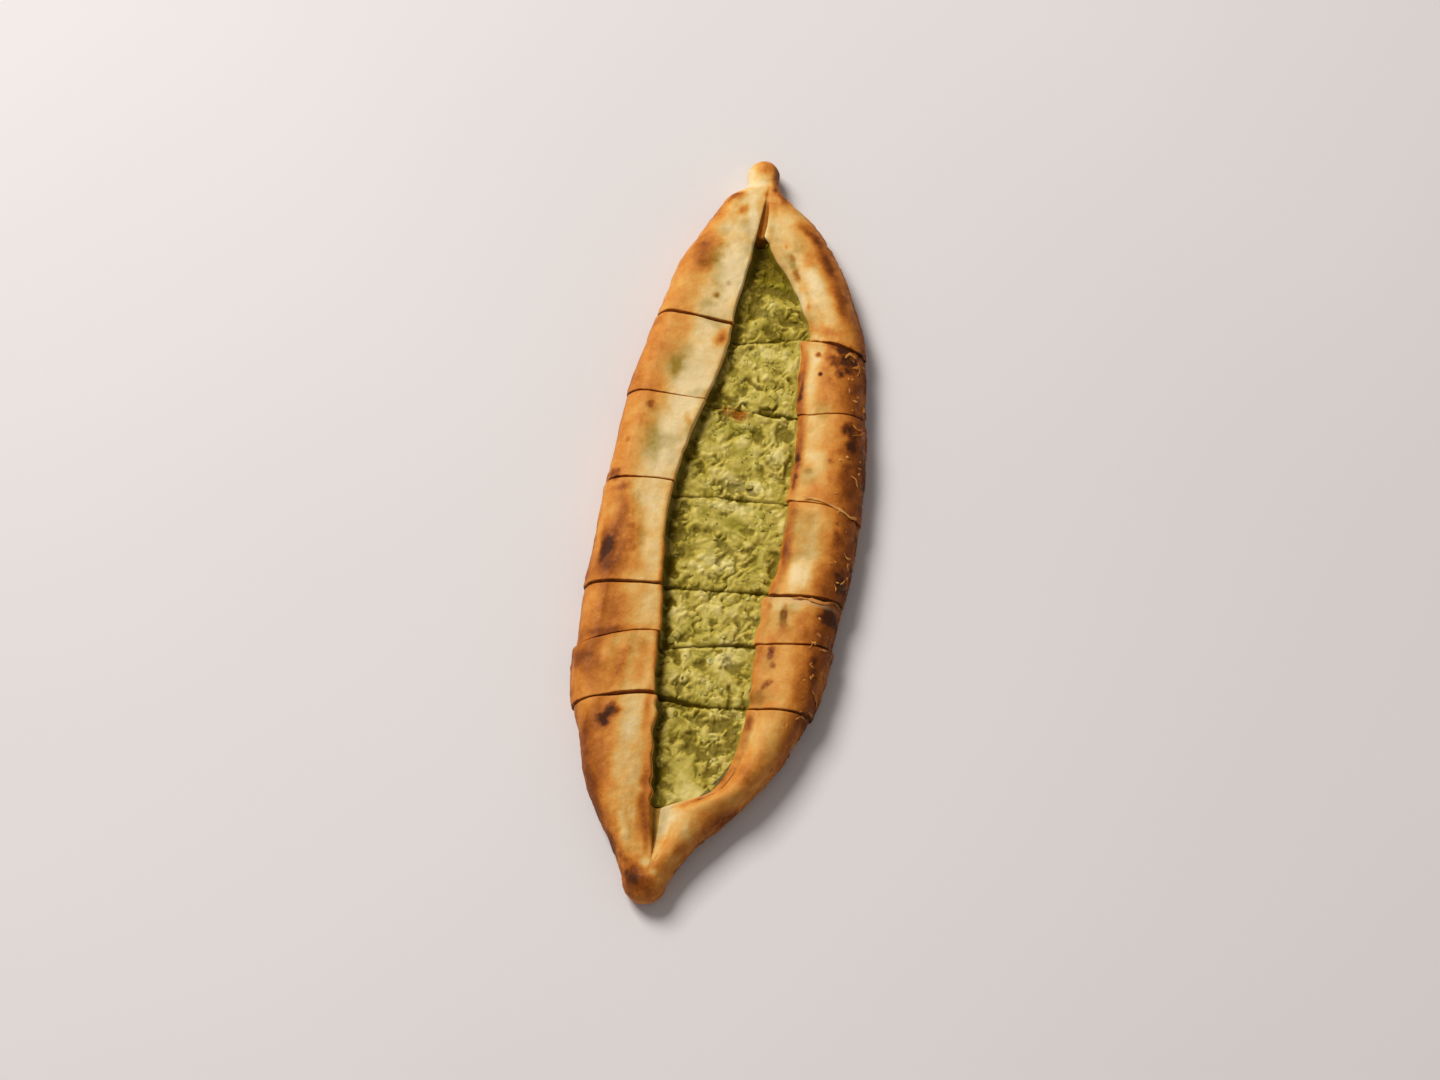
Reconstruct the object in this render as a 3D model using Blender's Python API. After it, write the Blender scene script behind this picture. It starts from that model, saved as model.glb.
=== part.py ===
"""A halloumi manakish: a boat of flatbread with a crumbled cheese and herb filling.

The long sides of an oval of dough are folded in over the filling, and both ends are pinched into a knob. Six
knife cuts part the baked bread into seven slices that still lie together. +Y runs along the bread, from the
browner knob to the paler one, and +Z is up. Each slice is two solids: its crust, which is a thick sheet of
dough folded into a trough with two flaps, and the filling that runs through it and shows at its cuts.
"""

from types import SimpleNamespace

import bpy
import numpy as np

# Every length here is in millimetres, and METRE turns it into Blender's unit where a mesh is made.
METRE = 0.001

# The bread's outline: (y, x) along each long side, between the two points where its knobs start to close.
HALF_LENGTH = 182.4
LEFT_SIDE = ((-172, -11.5), (-166, -14.2), (-150, -24.4), (-132, -34.8), (-114, -40.4), (-97, -45.8), (-78, -48.4),
             (-50, -49.2), (-25, -47.4), (0, -48.1), (30, -46.5), (55, -44.3), (80, -40.4), (104, -36),
             (124, -31.2), (145, -21.4), (155, -16.8), (159, -14.8), (162.5, -11.6), (165.5, -8), (168.5, -6.6),
             (174, -7.4))
RIGHT_SIDE = ((-172, 8.2), (-161, 14), (-150, 22.4), (-140, 31), (-130, 39), (-119, 46.2), (-97, 56.6), (-80, 61.8),
              (-50, 65.2), (0, 68.7), (30, 67.8), (60, 64.6), (85, 60.7), (98, 57.8), (117, 49.6), (136, 39.4),
              (152, 27.2), (158, 18.8), (163, 11.4), (168, 8.4), (174, 7.6))

# The flaps' inner edges, the lips. They leave the filling bare, and meet in a crease near each knob.
LEFT_LIP = ((-174, -1.4), (-166, 0), (-149, -3), (-131, -5.6), (-114, -8.2), (-97, -9.4), (-76, -11.6),
            (-55, -13.6), (-28, -15.9), (-8, -17.4), (10, -16.6), (30, -14), (50, -9.8), (62, -6.6), (73, -4.4),
            (87, -2.6), (100, -1.8), (114, 0.2), (124, 1.2), (135, 2), (145, 2.8), (155, 3.6), (160, 4.1),
            (164, 4.2), (174, 2.4))
RIGHT_LIP = ((-174, -1.2), (-166, 0.5), (-160, 0.6), (-150, 0.8), (-142, 0.6), (-139.6, 3.6), (-137.2, 8.6),
             (-134.6, 15), (-131, 21), (-124, 26.2), (-114, 29.4), (-105, 30.6), (-88, 31.8), (-63, 31),
             (-45, 33), (-21, 35.6), (8, 36.8), (40, 35.2), (67, 33.4), (91, 31.8), (107, 25.4), (116, 20.6),
             (124, 14.8), (130, 9.4), (135, 7), (139, 6), (145, 6.4), (150, 6.3), (155, 5.6), (160, 4.6),
             (164, 4.5), (174, 2.7))

# Height of the flaps' crests along the bread. Over the two distances of KNOB_FROM the flat flaps turn into a
# round knob, and from its start to the tip the section shrinks towards the point (x, z) as a ball's does.
CREST_HEIGHT = ((-174, 16.5), (-160, 17.5), (-140, 20), (-90, 21.5), (0, 21.5), (90, 21), (140, 19), (162, 16.5),
                (174, 14.5))
KNOB_FROM = (158.0, 172.0)
KNOBS = {-1: {"start": 173.0, "x": -1.6, "z": 7.0}, 1: {"start": 174.0, "x": 1.0, "z": 6.6}}

# The knife cuts from the far one to the near one, each as (x, y) points from left to right: first as it runs
# through the crust, then as it runs through the softer filling.
CRUST_CUTS = (
    ((-60, 93.4), (-36, 93), (-2, 90.8), (30, 89.4), (58, 86), (80, 83)),
    ((-60, 50.4), (-43, 51), (-12, 51.2), (34, 51.4), (66, 54.8), (80, 56)),
    ((-60, 5), (-46, 6.6), (-18, 9.2), (33, 8.6), (50, 7.8), (69, 3.4), (80, 0.6)),
    ((-60, -46.5), (-48, -44.6), (-14, -40.4), (36, -37.6), (67, -36.4), (80, -36)),
    ((-60, -77), (-48, -73.4), (-15, -62.8), (32, -61.2), (66, -57.6), (80, -56)),
    ((-60, -105), (-46, -100.6), (-30, -95.8), (-12, -91.6), (38, -91.4), (60, -90), (80, -88)),
)
FILLING_CUTS = (
    ((-30, 89), (-8, 85), (2, 83.8), (12, 86), (30, 90.2), (50, 91.5)),
    ((-40, 51.2), (-9, 50.9), (12, 50.7), (33, 50.6), (50, 51)),
    ((-40, 4), (-9, 5), (4, 7), (20, 7.2), (33, 8), (50, 8.4)),
    ((-40, -40.4), (-15, -39.6), (-2, -38.8), (20, -36.8), (36, -35.8), (50, -35.4)),
    ((-40, -70), (-11, -68), (6, -65.2), (24, -61.8), (50, -60.8)),
    ((-40, -90), (-7, -90.9), (10, -92.4), (28, -90.8), (50, -89)),
)
KNIFE_GAP = 1.0

# How each slice lies out of the smooth outline since it was cut: its sides outwards, its lips away from the
# filling, and all of it upwards.
SLICES = (
    {"left_side": 0.0, "right_side": 0.4, "left_lip": 0.0, "right_lip": 2.2, "lift": 0.2},
    {"left_side": 0.2, "right_side": -0.2, "left_lip": 0.3, "right_lip": -1.6, "lift": -0.3},
    {"left_side": -0.3, "right_side": 0.5, "left_lip": -0.2, "right_lip": -0.6, "lift": 0.3},
    {"left_side": 0.3, "right_side": -0.2, "left_lip": 0.2, "right_lip": 0.8, "lift": 0.5},
    {"left_side": -0.6, "right_side": -0.6, "left_lip": -0.6, "right_lip": -1.6, "lift": -0.5},
    {"left_side": 0.9, "right_side": 0.7, "left_lip": 0.7, "right_lip": -0.2, "lift": 0.4},
    {"left_side": -0.4, "right_side": -0.5, "left_lip": -0.8, "right_lip": -0.4, "lift": 0.0},
)

# The crust's section, by side: -1 is left, a flat sheet with a square lip, and 1 is right, rolled, so that
# its lip slopes down to the filling. LIP_DROP is how far a lip's top lies below the crest, along the bread.
SIDES = {-1: "left", 1: "right"}
FOOT_ROUND = 6.5
WIDEST_AT = 0.42
CREST_INSET = {-1: 10.0, 1: 15.0}
LIP_DROP = {
    -1: ((-172, 0.4), (-150, 0.8), (0, 1.2), (136, 1.0), (174, 0.3)),
    1: ((-172, 0.4), (-163, 1.4), (-154, 4.4), (-141, 4.6), (-120, 3.2), (90, 3.0), (136, 1.6), (174, 0.3)),
}
LIP_ROUND = {-1: 1.8, 1: 4.6}
LIP_DEPTH = {-1: 2.4, 1: 3.2}

# The trough: the dough's thickness under it and at its sides, the filling's level, the flaps' underside, and
# the filling's clearance. From the first to the second y of a pair in TROUGH_ENDS its end wall rises, and
# past that the lips meet in a crease, CREASE_DEPTH deep. The filling stops short of the wall.
FLOOR_HEIGHT = 5.0
SIDE_WALL = 19.5
FILLING_LEVEL = 13.6
ROOF_HEIGHT = 14.6
FILLING_GAP = 0.55
TROUGH_ENDS = {1: (135.6, 138.8), -1: (-138.4, -141.2)}
FILLING_SHORT = {1: 3.0, -1: 1.6}
CREASE_DEPTH = ((-174, 0.2), (-165, 0.4), (-160, 1.0), (-150, 2.6), (0, 3.2), (146, 2.8), (154, 1.6), (161, 0.4),
                (174, 0.2))

# Relief: low swells of the baked dough, the flakes of its outer side, and the bumps of the crumbled cheese.
SWELL = 0.45
FLAKE = 0.4
CRUMB = 0.8
CRUMB_SIZE = 3.6

# How finely the surfaces are divided: the spacing of rings along the bread, and the points across a section.
CRUST_STEP = 6.2
FILLING_STEP = 4.4
KNOB_TURNS = np.radians((80, 62, 42, 20))
OUTER_POINTS = (("base", 0.0), ("base", 0.55), ("foot", 0.0), ("foot", 0.4), ("foot", 0.75), ("side", 0.0),
                ("side", 0.3), ("side", 0.6), ("side", 0.9), ("flap", 0.25), ("flap", 0.5), ("flap", 0.75),
                ("lip", 0.0), ("lip", 0.5))
INNER_POINTS = ("middle", "floor", "floor out", "floor edge", "low corner", "end low", "end", "end high",
                "roof end", "roof", "roof near", "roof corner", "lip corner", "lip foot")
FILLING_COLUMNS = 19

CRUST_COLOUR = (0.66, 0.36, 0.12, 1.0)
FILLING_COLOUR = (0.46, 0.47, 0.17, 1.0)


def along(points, y):
    """Smooth curve through (place, value) points, read at y. It is made of cubic pieces, and its slope at a
    point is the harmonic mean of the straight slopes beside it, or 0 at a turn, so it never overshoots."""
    places, values = np.array(points, float).T
    steps = np.diff(places)
    rises = np.diff(values) / steps
    before, after = rises[:-1], rises[1:]
    same_way = before * after > 0
    inner = np.where(same_way, 2 * before * after / np.where(same_way, before + after, 1), 0)
    slopes = np.concatenate([rises[:1], inner, rises[-1:]])
    piece = np.clip(np.searchsorted(places, y) - 1, 0, len(steps) - 1)
    t = np.clip((y - places[piece]) / steps[piece], 0, 1)
    start, end, step = values[piece], values[piece + 1], steps[piece]
    lean = slopes[piece] * step * t * (1 - t) ** 2 - slopes[piece + 1] * step * t * t * (1 - t)
    return start + (end - start) * t * t * (3 - 2 * t) + lean


def ease(low, high, value):
    """0 up to low, 1 from high on, and a smooth step between them. With low above high it falls instead."""
    t = np.clip((value - low) / (high - low), 0, 1)
    return t * t * (3 - 2 * t)


def waves(a, b, seed, count=9):
    """Smooth seeded unevenness of about -1 to 1: sine waves of length about 2 pi that cross the (a, b) plane
    in all directions, added up."""
    rng = np.random.default_rng(seed)
    turns = rng.uniform(0, 2 * np.pi, count)
    rates = rng.uniform(0.7, 1.5, count)
    starts = rng.uniform(0, 2 * np.pi, count)
    total = 0
    for turn, rate, start in zip(turns, rates, starts):
        total = total + np.sin(rate * (np.cos(turn) * a + np.sin(turn) * b) + start)
    return total / np.sqrt(count)


def place_along(cuts, slice_index, share, x):
    """y at x, a share of the way from a slice's far end to its near end. An end is a cut, less half the
    knife's gap, or the bread's tip."""
    far, near = HALF_LENGTH, -HALF_LENGTH
    if slice_index > 0:
        far = along(cuts[slice_index - 1], x) - KNIFE_GAP / 2
    if slice_index < len(cuts):
        near = along(cuts[slice_index], x) + KNIFE_GAP / 2
    return far + (near - far) * share


def openness(y):
    """1 where the lips leave the filling bare, and 0 where they meet in a crease."""
    return ease(TROUGH_ENDS[1][1], TROUGH_ENDS[1][0], y) * ease(TROUGH_ENDS[-1][1], TROUGH_ENDS[-1][0], y)


def measures(slice_index, y, side):
    """The section's sizes at y on one side: distances from the trough's middle, and heights."""
    moved = SLICES[slice_index]
    opened = openness(y)
    left_lip = along(LEFT_LIP, y) - moved["left_lip"] * opened
    right_lip = along(RIGHT_LIP, y) + moved["right_lip"] * opened
    middle = (left_lip + right_lip) / 2
    lip = (right_lip - left_lip) / 2
    outline = abs(along(LEFT_SIDE if side < 0 else RIGHT_SIDE, y) - middle)
    out = outline + moved[SIDES[side] + "_side"]
    crest = along(CREST_HEIGHT, y) + moved["lift"]
    lip_top = crest - along(LIP_DROP[side], y)
    crease = crest - along(LIP_DROP[1], y) - along(CREASE_DEPTH, y)
    return SimpleNamespace(
        side=side,
        opened=opened,
        middle=middle,
        out=out,
        lip=lip,
        end=outline - SIDE_WALL,
        crest=crest,
        lip_top=lip_top,
        lip_depth=np.clip(lip_top - ROOF_HEIGHT - 0.4, 0.3, LIP_DEPTH[side]) * (0.3 + 0.7 * opened),
        low=FLOOR_HEIGHT * opened + crease * (1 - opened),
        foot=np.minimum(FOOT_ROUND, 0.4 * out),
        inset=np.minimum(CREST_INSET[side], (0.5 + 0.38 * ease(*KNOB_FROM, abs(y))) * (out - lip)),
        lip_round=np.minimum(LIP_ROUND[side], 0.2 * (out - lip)),
    )


def outer_point(m, run, u):
    """Reach from the middle, and height, of a point on the dough's outer face: along the flat base, round
    the foot and the side as quarter ellipses, over the flap, and round the lip."""
    turn = u * np.pi / 2
    widest = WIDEST_AT * m.crest
    if run == "base":
        return u * (m.out - m.foot), 0 * m.out
    if run == "foot":
        return m.out - m.foot * (1 - np.sin(turn)), widest * (1 - np.cos(turn))
    if run == "side":
        return m.out - m.inset * (1 - np.cos(turn)), widest + (m.crest - widest) * np.sin(turn)
    if run == "flap":
        start, end = m.out - m.inset, m.lip + m.lip_round
        return start + u * (end - start), m.crest + (m.lip_top - m.crest) * u**2
    return m.lip + m.lip_round * (1 - np.sin(turn)), m.lip_top - m.lip_depth * (1 - np.cos(turn))


def inner_point(m, name):
    """Reach and height of a point on the dough's inner face, from the middle of the trough's floor, out
    under the flap, and back along the flap's underside to the foot of its lip. In a crease all of them lie
    close together down its wall, and openness mixes the two."""
    wall = np.linspace(0, 1, len(INNER_POINTS))[INNER_POINTS.index(name)]
    lip_foot = m.lip_top - m.lip_depth
    under = np.maximum(m.end - m.lip, 1.0)
    roof = ROOF_HEIGHT + 0 * under
    reach, height = {
        "middle": (0 * under, m.low),
        "floor": (0.5 * m.lip, m.low),
        "floor out": (m.lip + 0.15 * under, m.low),
        "floor edge": (m.lip + 0.55 * under, m.low),
        "low corner": (m.lip + 0.85 * under, m.low + 0.5),
        "end low": (m.lip + 0.96 * under, m.low + 2.2),
        "end": (m.lip + under, m.low + 4.6),
        "end high": (m.lip + 0.96 * under, roof - 2.4),
        "roof end": (m.lip + 0.85 * under, roof - 1.2),
        "roof": (m.lip + 0.6 * under, roof - 0.5),
        "roof near": (m.lip + 0.3 * under, roof - 0.1),
        "roof corner": (m.lip + np.minimum(0.9, 0.15 * under), roof),
        "lip corner": (m.lip + 0.1, 0.7 * roof + 0.3 * lip_foot),
        "lip foot": (m.lip, lip_foot),
    }[name]
    crease_reach = m.lip * wall
    crease_height = m.low + (lip_foot - m.low) * wall**1.5
    mixed_reach = crease_reach + (reach - crease_reach) * m.opened
    return mixed_reach, crease_height + (height - crease_height) * m.opened


def filling_point(m, u, upper):
    """Reach and height of a point on the filling's lower or upper face, a share u of the way from the middle
    to the edge that it has under the flap. Both faces keep their gap to the dough and round off there."""
    end = m.end - FILLING_GAP
    roof = ROOF_HEIGHT - FILLING_GAP
    reach = u * end
    past_lip = np.clip((reach - m.lip) / np.maximum(end - m.lip, 1.0), 0, 1)
    low = m.low + FILLING_GAP + 2.6 * ease(0.5, 1.0, past_lip) ** 2
    if not upper:
        return reach, low
    level = FILLING_LEVEL + (roof - 0.25 - FILLING_LEVEL) * ease(m.lip - 4, m.lip, reach)
    return reach, np.maximum(level - 2.6 * ease(0.3, 1.1, past_lip), low + 0.8)


def column(cuts, slice_index, shares, side, point, *details):
    """One line of points along a slice. How far a point lies along the bread depends on where the cuts cross
    its x, and its x on that place in turn, so the two are worked out from each other a few times."""
    x = np.zeros_like(shares)
    for _ in range(5):
        y = place_along(cuts, slice_index, shares, x)
        m = measures(slice_index, y, side)
        reach, height = point(m, *details)
        x = m.middle + side * reach
    return np.stack([x, y, height], 1)


def crust_sheets(slice_index, shares):
    """The dough's outer and inner face, each as rows of points from the left lip, down, under the filling
    and up to the right lip."""
    sheets = []
    for point, details in ((outer_point, OUTER_POINTS), (inner_point, [(name,) for name in INNER_POINTS])):
        half = {
            side: [column(CRUST_CUTS, slice_index, shares, side, point, *detail) for detail in details]
            for side in SIDES
        }
        sheets.append(close_ends(np.stack(half[-1][:0:-1] + half[1], 1)))
    return bake(sheets[0]), sheets[1]


def filling_sheets(slice_index, shares):
    """The filling's lower and upper face, as rows from left to right. The upper one is crumbly where it is
    bare."""
    lower, upper = (
        np.stack([
            column(FILLING_CUTS, slice_index, shares, -1 if u < 0 else 1, filling_point, abs(u), is_upper)
            for u in np.linspace(-1, 1, FILLING_COLUMNS)
        ], 1)
        for is_upper in (False, True)
    )
    x, y = upper[..., 0], upper[..., 1]
    m = measures(slice_index, y, 1)
    bare = ease(m.lip, m.lip - 3, abs(x - m.middle)) * ease(3, 8, m.lip)
    crumbs = waves(2.4 * x / CRUMB_SIZE, 2.4 * y / CRUMB_SIZE, seed=21, count=13)
    upper[..., 2] += CRUMB * bare * np.clip(crumbs, -1.2, 1.2)
    return lower, upper


def close_ends(sheet):
    """Rounds the knobs: from a knob's start on, the points draw in to its middle as on a ball, to nothing at
    the tip."""
    y = sheet[..., 1]
    for way, knob in KNOBS.items():
        past = np.clip((way * y - knob["start"]) / (HALF_LENGTH - knob["start"]), 0, 1)
        size = np.sqrt(1 - past**2)
        sheet[..., 0] = knob["x"] + (sheet[..., 0] - knob["x"]) * size
        sheet[..., 2] = knob["z"] + (sheet[..., 2] - knob["z"]) * size
    return sheet


def bake(outer):
    """Relief on the dough's outer face above the foot: low swells, and flakes on the side, which are rougher
    on the right."""
    x, y, z = outer[..., 0].copy(), outer[..., 1], outer[..., 2].copy()
    near_tip = ease(HALF_LENGTH, HALF_LENGTH - 10, abs(y))
    roughness = np.where(x > 10, 1.0, -0.6) * ease(18, 10, z) * ease(2, 8, z)
    outer[..., 2] += SWELL * near_tip * ease(9, 14, z) * waves(x / 7, y / 9, seed=3)
    outer[..., 0] += FLAKE * near_tip * roughness * waves(z / 2.5, y / 4.5, seed=8)
    return outer


def ring_shares(slice_index):
    """Shares along a slice for the crust's rings. They are CRUST_STEP apart, and a tip slice also has a ring
    at either end of its trough's end wall, and closer ones round its knob."""
    far, near = (place_along(CRUST_CUTS, slice_index, share, 0.0) for share in (0, 1))
    if 0 < slice_index < len(CRUST_CUTS):
        return np.linspace(0, 1, round((far - near) / CRUST_STEP) + 1)
    way = 1 if slice_index == 0 else -1
    start, cut = way * KNOBS[way]["start"], near if way > 0 else far
    body = np.linspace(start, cut, round(abs(start - cut) / CRUST_STEP) + 1)
    wall = np.array(TROUGH_ENDS[way])
    body = body[abs(body[:, None] - wall).min(1) > CRUST_STEP / 3]
    knob = start + way * (HALF_LENGTH - abs(start)) * np.sin(KNOB_TURNS)
    places = np.sort(np.concatenate([knob, body, wall]))[::-1]
    return (far - places) / (far - near)


def filling_shares(slice_index):
    """Shares along a slice for the filling's rings, which stop short of the trough's end walls."""
    far, near = (place_along(FILLING_CUTS, slice_index, share, 0.0) for share in (0, 1))
    first = max(0.0, (far - TROUGH_ENDS[1][0] + FILLING_SHORT[1]) / (far - near))
    last = min(1.0, (far - TROUGH_ENDS[-1][0] - FILLING_SHORT[-1]) / (far - near))
    return np.linspace(first, last, round((last - first) * (far - near) / FILLING_STEP) + 1)


def slab(outer, inner):
    """Vertices and faces of the solid between two sheets of (ring, column) points. Each ring is a loop, out
    along the outer sheet and back along the inner one. The first and last rings are closed by quads from
    sheet to sheet."""
    loops = np.concatenate([outer, inner[:, ::-1]], 1)
    rings, around = loops.shape[:2]
    number = np.arange(rings * around).reshape(rings, around)
    turned = np.roll(number, -1, axis=1)
    skin = np.stack([number[:-1], turned[:-1], turned[1:], number[1:]], 2).reshape(-1, 4)
    there = np.arange(outer.shape[1] - 1)
    back = around - 1 - there
    end = np.stack([there, there + 1, back - 1, back], 1)
    faces = np.concatenate([skin, end[:, ::-1], end + (rings - 1) * around])
    return loops.reshape(-1, 3), faces


def make_material(name, colour, roughness):
    material = bpy.data.materials.new(name)
    material.use_nodes = True
    shader = material.node_tree.nodes["Principled BSDF"]
    shader.inputs["Base Color"].default_value = colour
    shader.inputs["Roughness"].default_value = roughness
    shader.inputs["Metallic"].default_value = 0.0
    return material


def add_solid(name, points, faces, material):
    mesh = bpy.data.meshes.new(name)
    mesh.from_pydata((points * METRE).tolist(), [], faces.tolist())
    mesh.materials.append(material)
    mesh.shade_smooth()
    mesh.set_sharp_from_angle(angle=np.radians(40))
    made = bpy.data.objects.new(name, mesh)
    bpy.context.scene.collection.objects.link(made)


def main():
    for thing in list(bpy.data.objects):
        bpy.data.objects.remove(thing)
    crust = make_material("baked crust", CRUST_COLOUR, 0.6)
    filling = make_material("cheese filling", FILLING_COLOUR, 0.75)
    solids = []
    for index in range(len(SLICES)):
        number = index + 1
        crust_sheet = crust_sheets(index, ring_shares(index))
        filling_sheet = filling_sheets(index, filling_shares(index))
        solids.append((f"crust_{number}", *slab(*crust_sheet), crust))
        solids.append((f"filling_{number}", *slab(*filling_sheet), filling))
    everything = np.concatenate([points for _, points, _, _ in solids])
    low, high = everything.min(0), everything.max(0)
    bottom_centre = np.array([(low[0] + high[0]) / 2, (low[1] + high[1]) / 2, low[2]])
    for name, points, faces, material in solids:
        add_solid(name, points - bottom_centre, faces, material)


main()
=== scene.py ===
# %% [markdown]
# A halloumi manakish, dressed. This is a long oval of bread dough whose sides are folded in over crumbled
# cheese and chopped herbs, with both ends pinched shut. It was baked until its outer side browned, and was
# then cut across into seven slices that still lie together.
#
# The solids that carry the bread are already made: seven crusts and seven fillings. They are faceted and
# plain. This lesson gives each of them a fine surface of the same form: swollen, blistered and browned
# dough, torn edges along the knife cuts, and a bed of crumbled cheese with loose crumbs and herbs on it.

from types import SimpleNamespace

import bpy
import numpy as np
from mathutils import Matrix, Vector


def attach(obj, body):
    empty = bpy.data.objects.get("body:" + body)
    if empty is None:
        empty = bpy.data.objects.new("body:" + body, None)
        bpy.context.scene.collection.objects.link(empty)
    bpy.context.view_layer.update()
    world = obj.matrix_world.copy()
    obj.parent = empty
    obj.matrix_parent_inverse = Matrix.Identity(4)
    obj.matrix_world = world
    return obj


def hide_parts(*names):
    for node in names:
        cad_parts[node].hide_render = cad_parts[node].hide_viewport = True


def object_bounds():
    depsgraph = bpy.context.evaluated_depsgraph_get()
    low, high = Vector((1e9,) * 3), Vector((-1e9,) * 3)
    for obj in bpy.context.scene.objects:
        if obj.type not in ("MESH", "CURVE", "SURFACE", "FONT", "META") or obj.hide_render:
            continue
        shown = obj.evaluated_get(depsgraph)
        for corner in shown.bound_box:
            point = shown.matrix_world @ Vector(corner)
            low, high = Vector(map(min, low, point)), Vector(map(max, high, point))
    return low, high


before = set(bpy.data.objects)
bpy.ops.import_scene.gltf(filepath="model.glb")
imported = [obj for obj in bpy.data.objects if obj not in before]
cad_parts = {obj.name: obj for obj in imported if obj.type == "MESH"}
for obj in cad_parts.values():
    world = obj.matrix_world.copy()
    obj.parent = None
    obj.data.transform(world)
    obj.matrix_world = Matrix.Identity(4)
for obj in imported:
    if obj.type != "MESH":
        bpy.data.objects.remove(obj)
cad_low, cad_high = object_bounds()
size_mm = (cad_high - cad_low) * 1000
print(f"the bread is {size_mm.x:.1f} x {size_mm.y:.1f} x {size_mm.z:.1f} mm")

# %% [markdown]
# Units and places. Bread is easiest to think about in millimetres, so every length below is in millimetres,
# and it becomes metres only where a mesh is made. The plan of the bread was measured from the line between
# its two points. The frame has its origin under the middle of the bread's box instead, so BREAD_CENTRE is
# taken off at the end.

# %% Units and fineness
METRE = 0.001
BREAD_CENTRE = np.array([9.754, 0.008, 0.0])
HALF_LENGTH = 182.4
FULL_FINENESS = 0.62
FINE = FULL_FINENESS
print(f"surfaces are worked out every {FINE} mm")

# %% [markdown]
# The plan. A hand-made bread has no straight line in it, yet its outline is smooth, because dough relaxes.
# So each line of the plan is a handful of measured points with a smooth curve through them: both long
# sides, both lips (the inner edges of the folded flaps), and the height of the flaps' crests. The curve is
# made of cubic pieces that never overshoot a point, because an overshoot would show as a dent.

# %% The plan's lines
LEFT_SIDE = ((-172, -11.5), (-166, -14.2), (-150, -24.4), (-132, -34.8), (-114, -40.4), (-97, -45.8),
             (-78, -48.4), (-50, -49.2), (-25, -47.4), (0, -48.1), (30, -46.5), (55, -44.3), (80, -40.4),
             (104, -36), (124, -31.2), (145, -21.4), (155, -16.8), (159, -14.8), (162.5, -11.6),
             (165.5, -8), (168.5, -6.6), (174, -7.4))
RIGHT_SIDE = ((-172, 8.2), (-161, 14), (-150, 22.4), (-140, 31), (-130, 39), (-119, 46.2), (-97, 56.6),
              (-80, 61.8), (-50, 65.2), (0, 68.7), (30, 67.8), (60, 64.6), (85, 60.7), (98, 57.8),
              (117, 49.6), (136, 39.4), (152, 27.2), (158, 18.8), (163, 11.4), (168, 8.4), (174, 7.6))
LEFT_LIP = ((-174, -1.4), (-166, 0), (-149, -3), (-131, -5.6), (-114, -8.0), (-97, -8.9), (-76, -11.0),
            (-55, -12.9), (-28, -15.7), (-8, -17.3), (10, -16.5), (30, -13.8), (50, -9.1), (62, -5.7),
            (73, -3.6), (87, -2.1), (100, -1.7), (114, 0.2), (124, 1.2), (135, 2), (145, 2.8), (155, 3.6),
            (160, 4.1), (164, 4.2), (174, 2.4))
RIGHT_LIP = ((-174, -1.2), (-166, 0.5), (-160, 0.6), (-150, 0.8), (-142, 0.6), (-139.6, 3.6), (-137.2, 8.6),
             (-134.6, 15), (-131, 21), (-124, 26.2), (-114, 29.4), (-105, 30.6), (-88, 31.8), (-63, 31),
             (-45, 32.4), (-36, 32.2), (-21, 34.8), (8, 35.6), (25, 35.6), (40, 35.2), (67, 33.4),
             (91, 31.8), (107, 25.4), (116, 20.6), (124, 14.8), (130, 9.4), (135, 7), (139, 6), (145, 6.4),
             (150, 6.3), (155, 5.6), (160, 4.6), (164, 4.5), (174, 2.7))
CREST_HEIGHT = ((-174, 16.5), (-160, 17.5), (-140, 20), (-90, 21.5), (0, 21.5), (90, 21), (140, 19),
                (162, 16.5), (174, 14.5))
print("the left side has", len(LEFT_SIDE), "points and the right lip", len(RIGHT_LIP))


# %% Curves through points
def along(points, y):
    """Smooth curve through (place, value) points, read at y. On each piece it is the cubic that has the
    right value and slope at both ends. The slope at a point is the harmonic mean of the straight slopes
    beside it, or 0 where the line turns."""
    places, values = np.array(points, float).T
    steps = np.diff(places)
    rises = np.diff(values) / steps
    before, after = rises[:-1], rises[1:]
    same_way = before * after > 0
    inner = np.where(same_way, 2 * before * after / np.where(same_way, before + after, 1), 0)
    slopes = np.concatenate([rises[:1], inner, rises[-1:]])
    piece = np.clip(np.searchsorted(places, y) - 1, 0, len(steps) - 1)
    t = np.clip((y - places[piece]) / steps[piece], 0, 1)
    start, end, step = values[piece], values[piece + 1], steps[piece]
    lean = slopes[piece] * step * t * (1 - t) ** 2 - slopes[piece + 1] * step * t * t * (1 - t)
    return start + (end - start) * t * t * (3 - 2 * t) + lean


def ease(low, high, value):
    """0 up to low, 1 from high on, and 3t^2 - 2t^3 between them. With low above high it falls instead."""
    t = np.clip((value - low) / (high - low), 0, 1)
    return t * t * (3 - 2 * t)


print(f"the bread is {along(RIGHT_SIDE, 0.0) - along(LEFT_SIDE, 0.0):.1f} mm wide at y = 0")

# %% [markdown]
# The cuts. A knife went through six times, never quite square to the bread. Crust and filling were dragged
# by different amounts, so each has its own line. The slices then closed up again, some more tightly than
# others, so the gap also changes along a cut. Each slice came to rest a little out of line, and that is
# what makes the bread read as sliced even where the cuts are shut. A cut is a curve of y over x, a gap one
# of its width over x.

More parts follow.
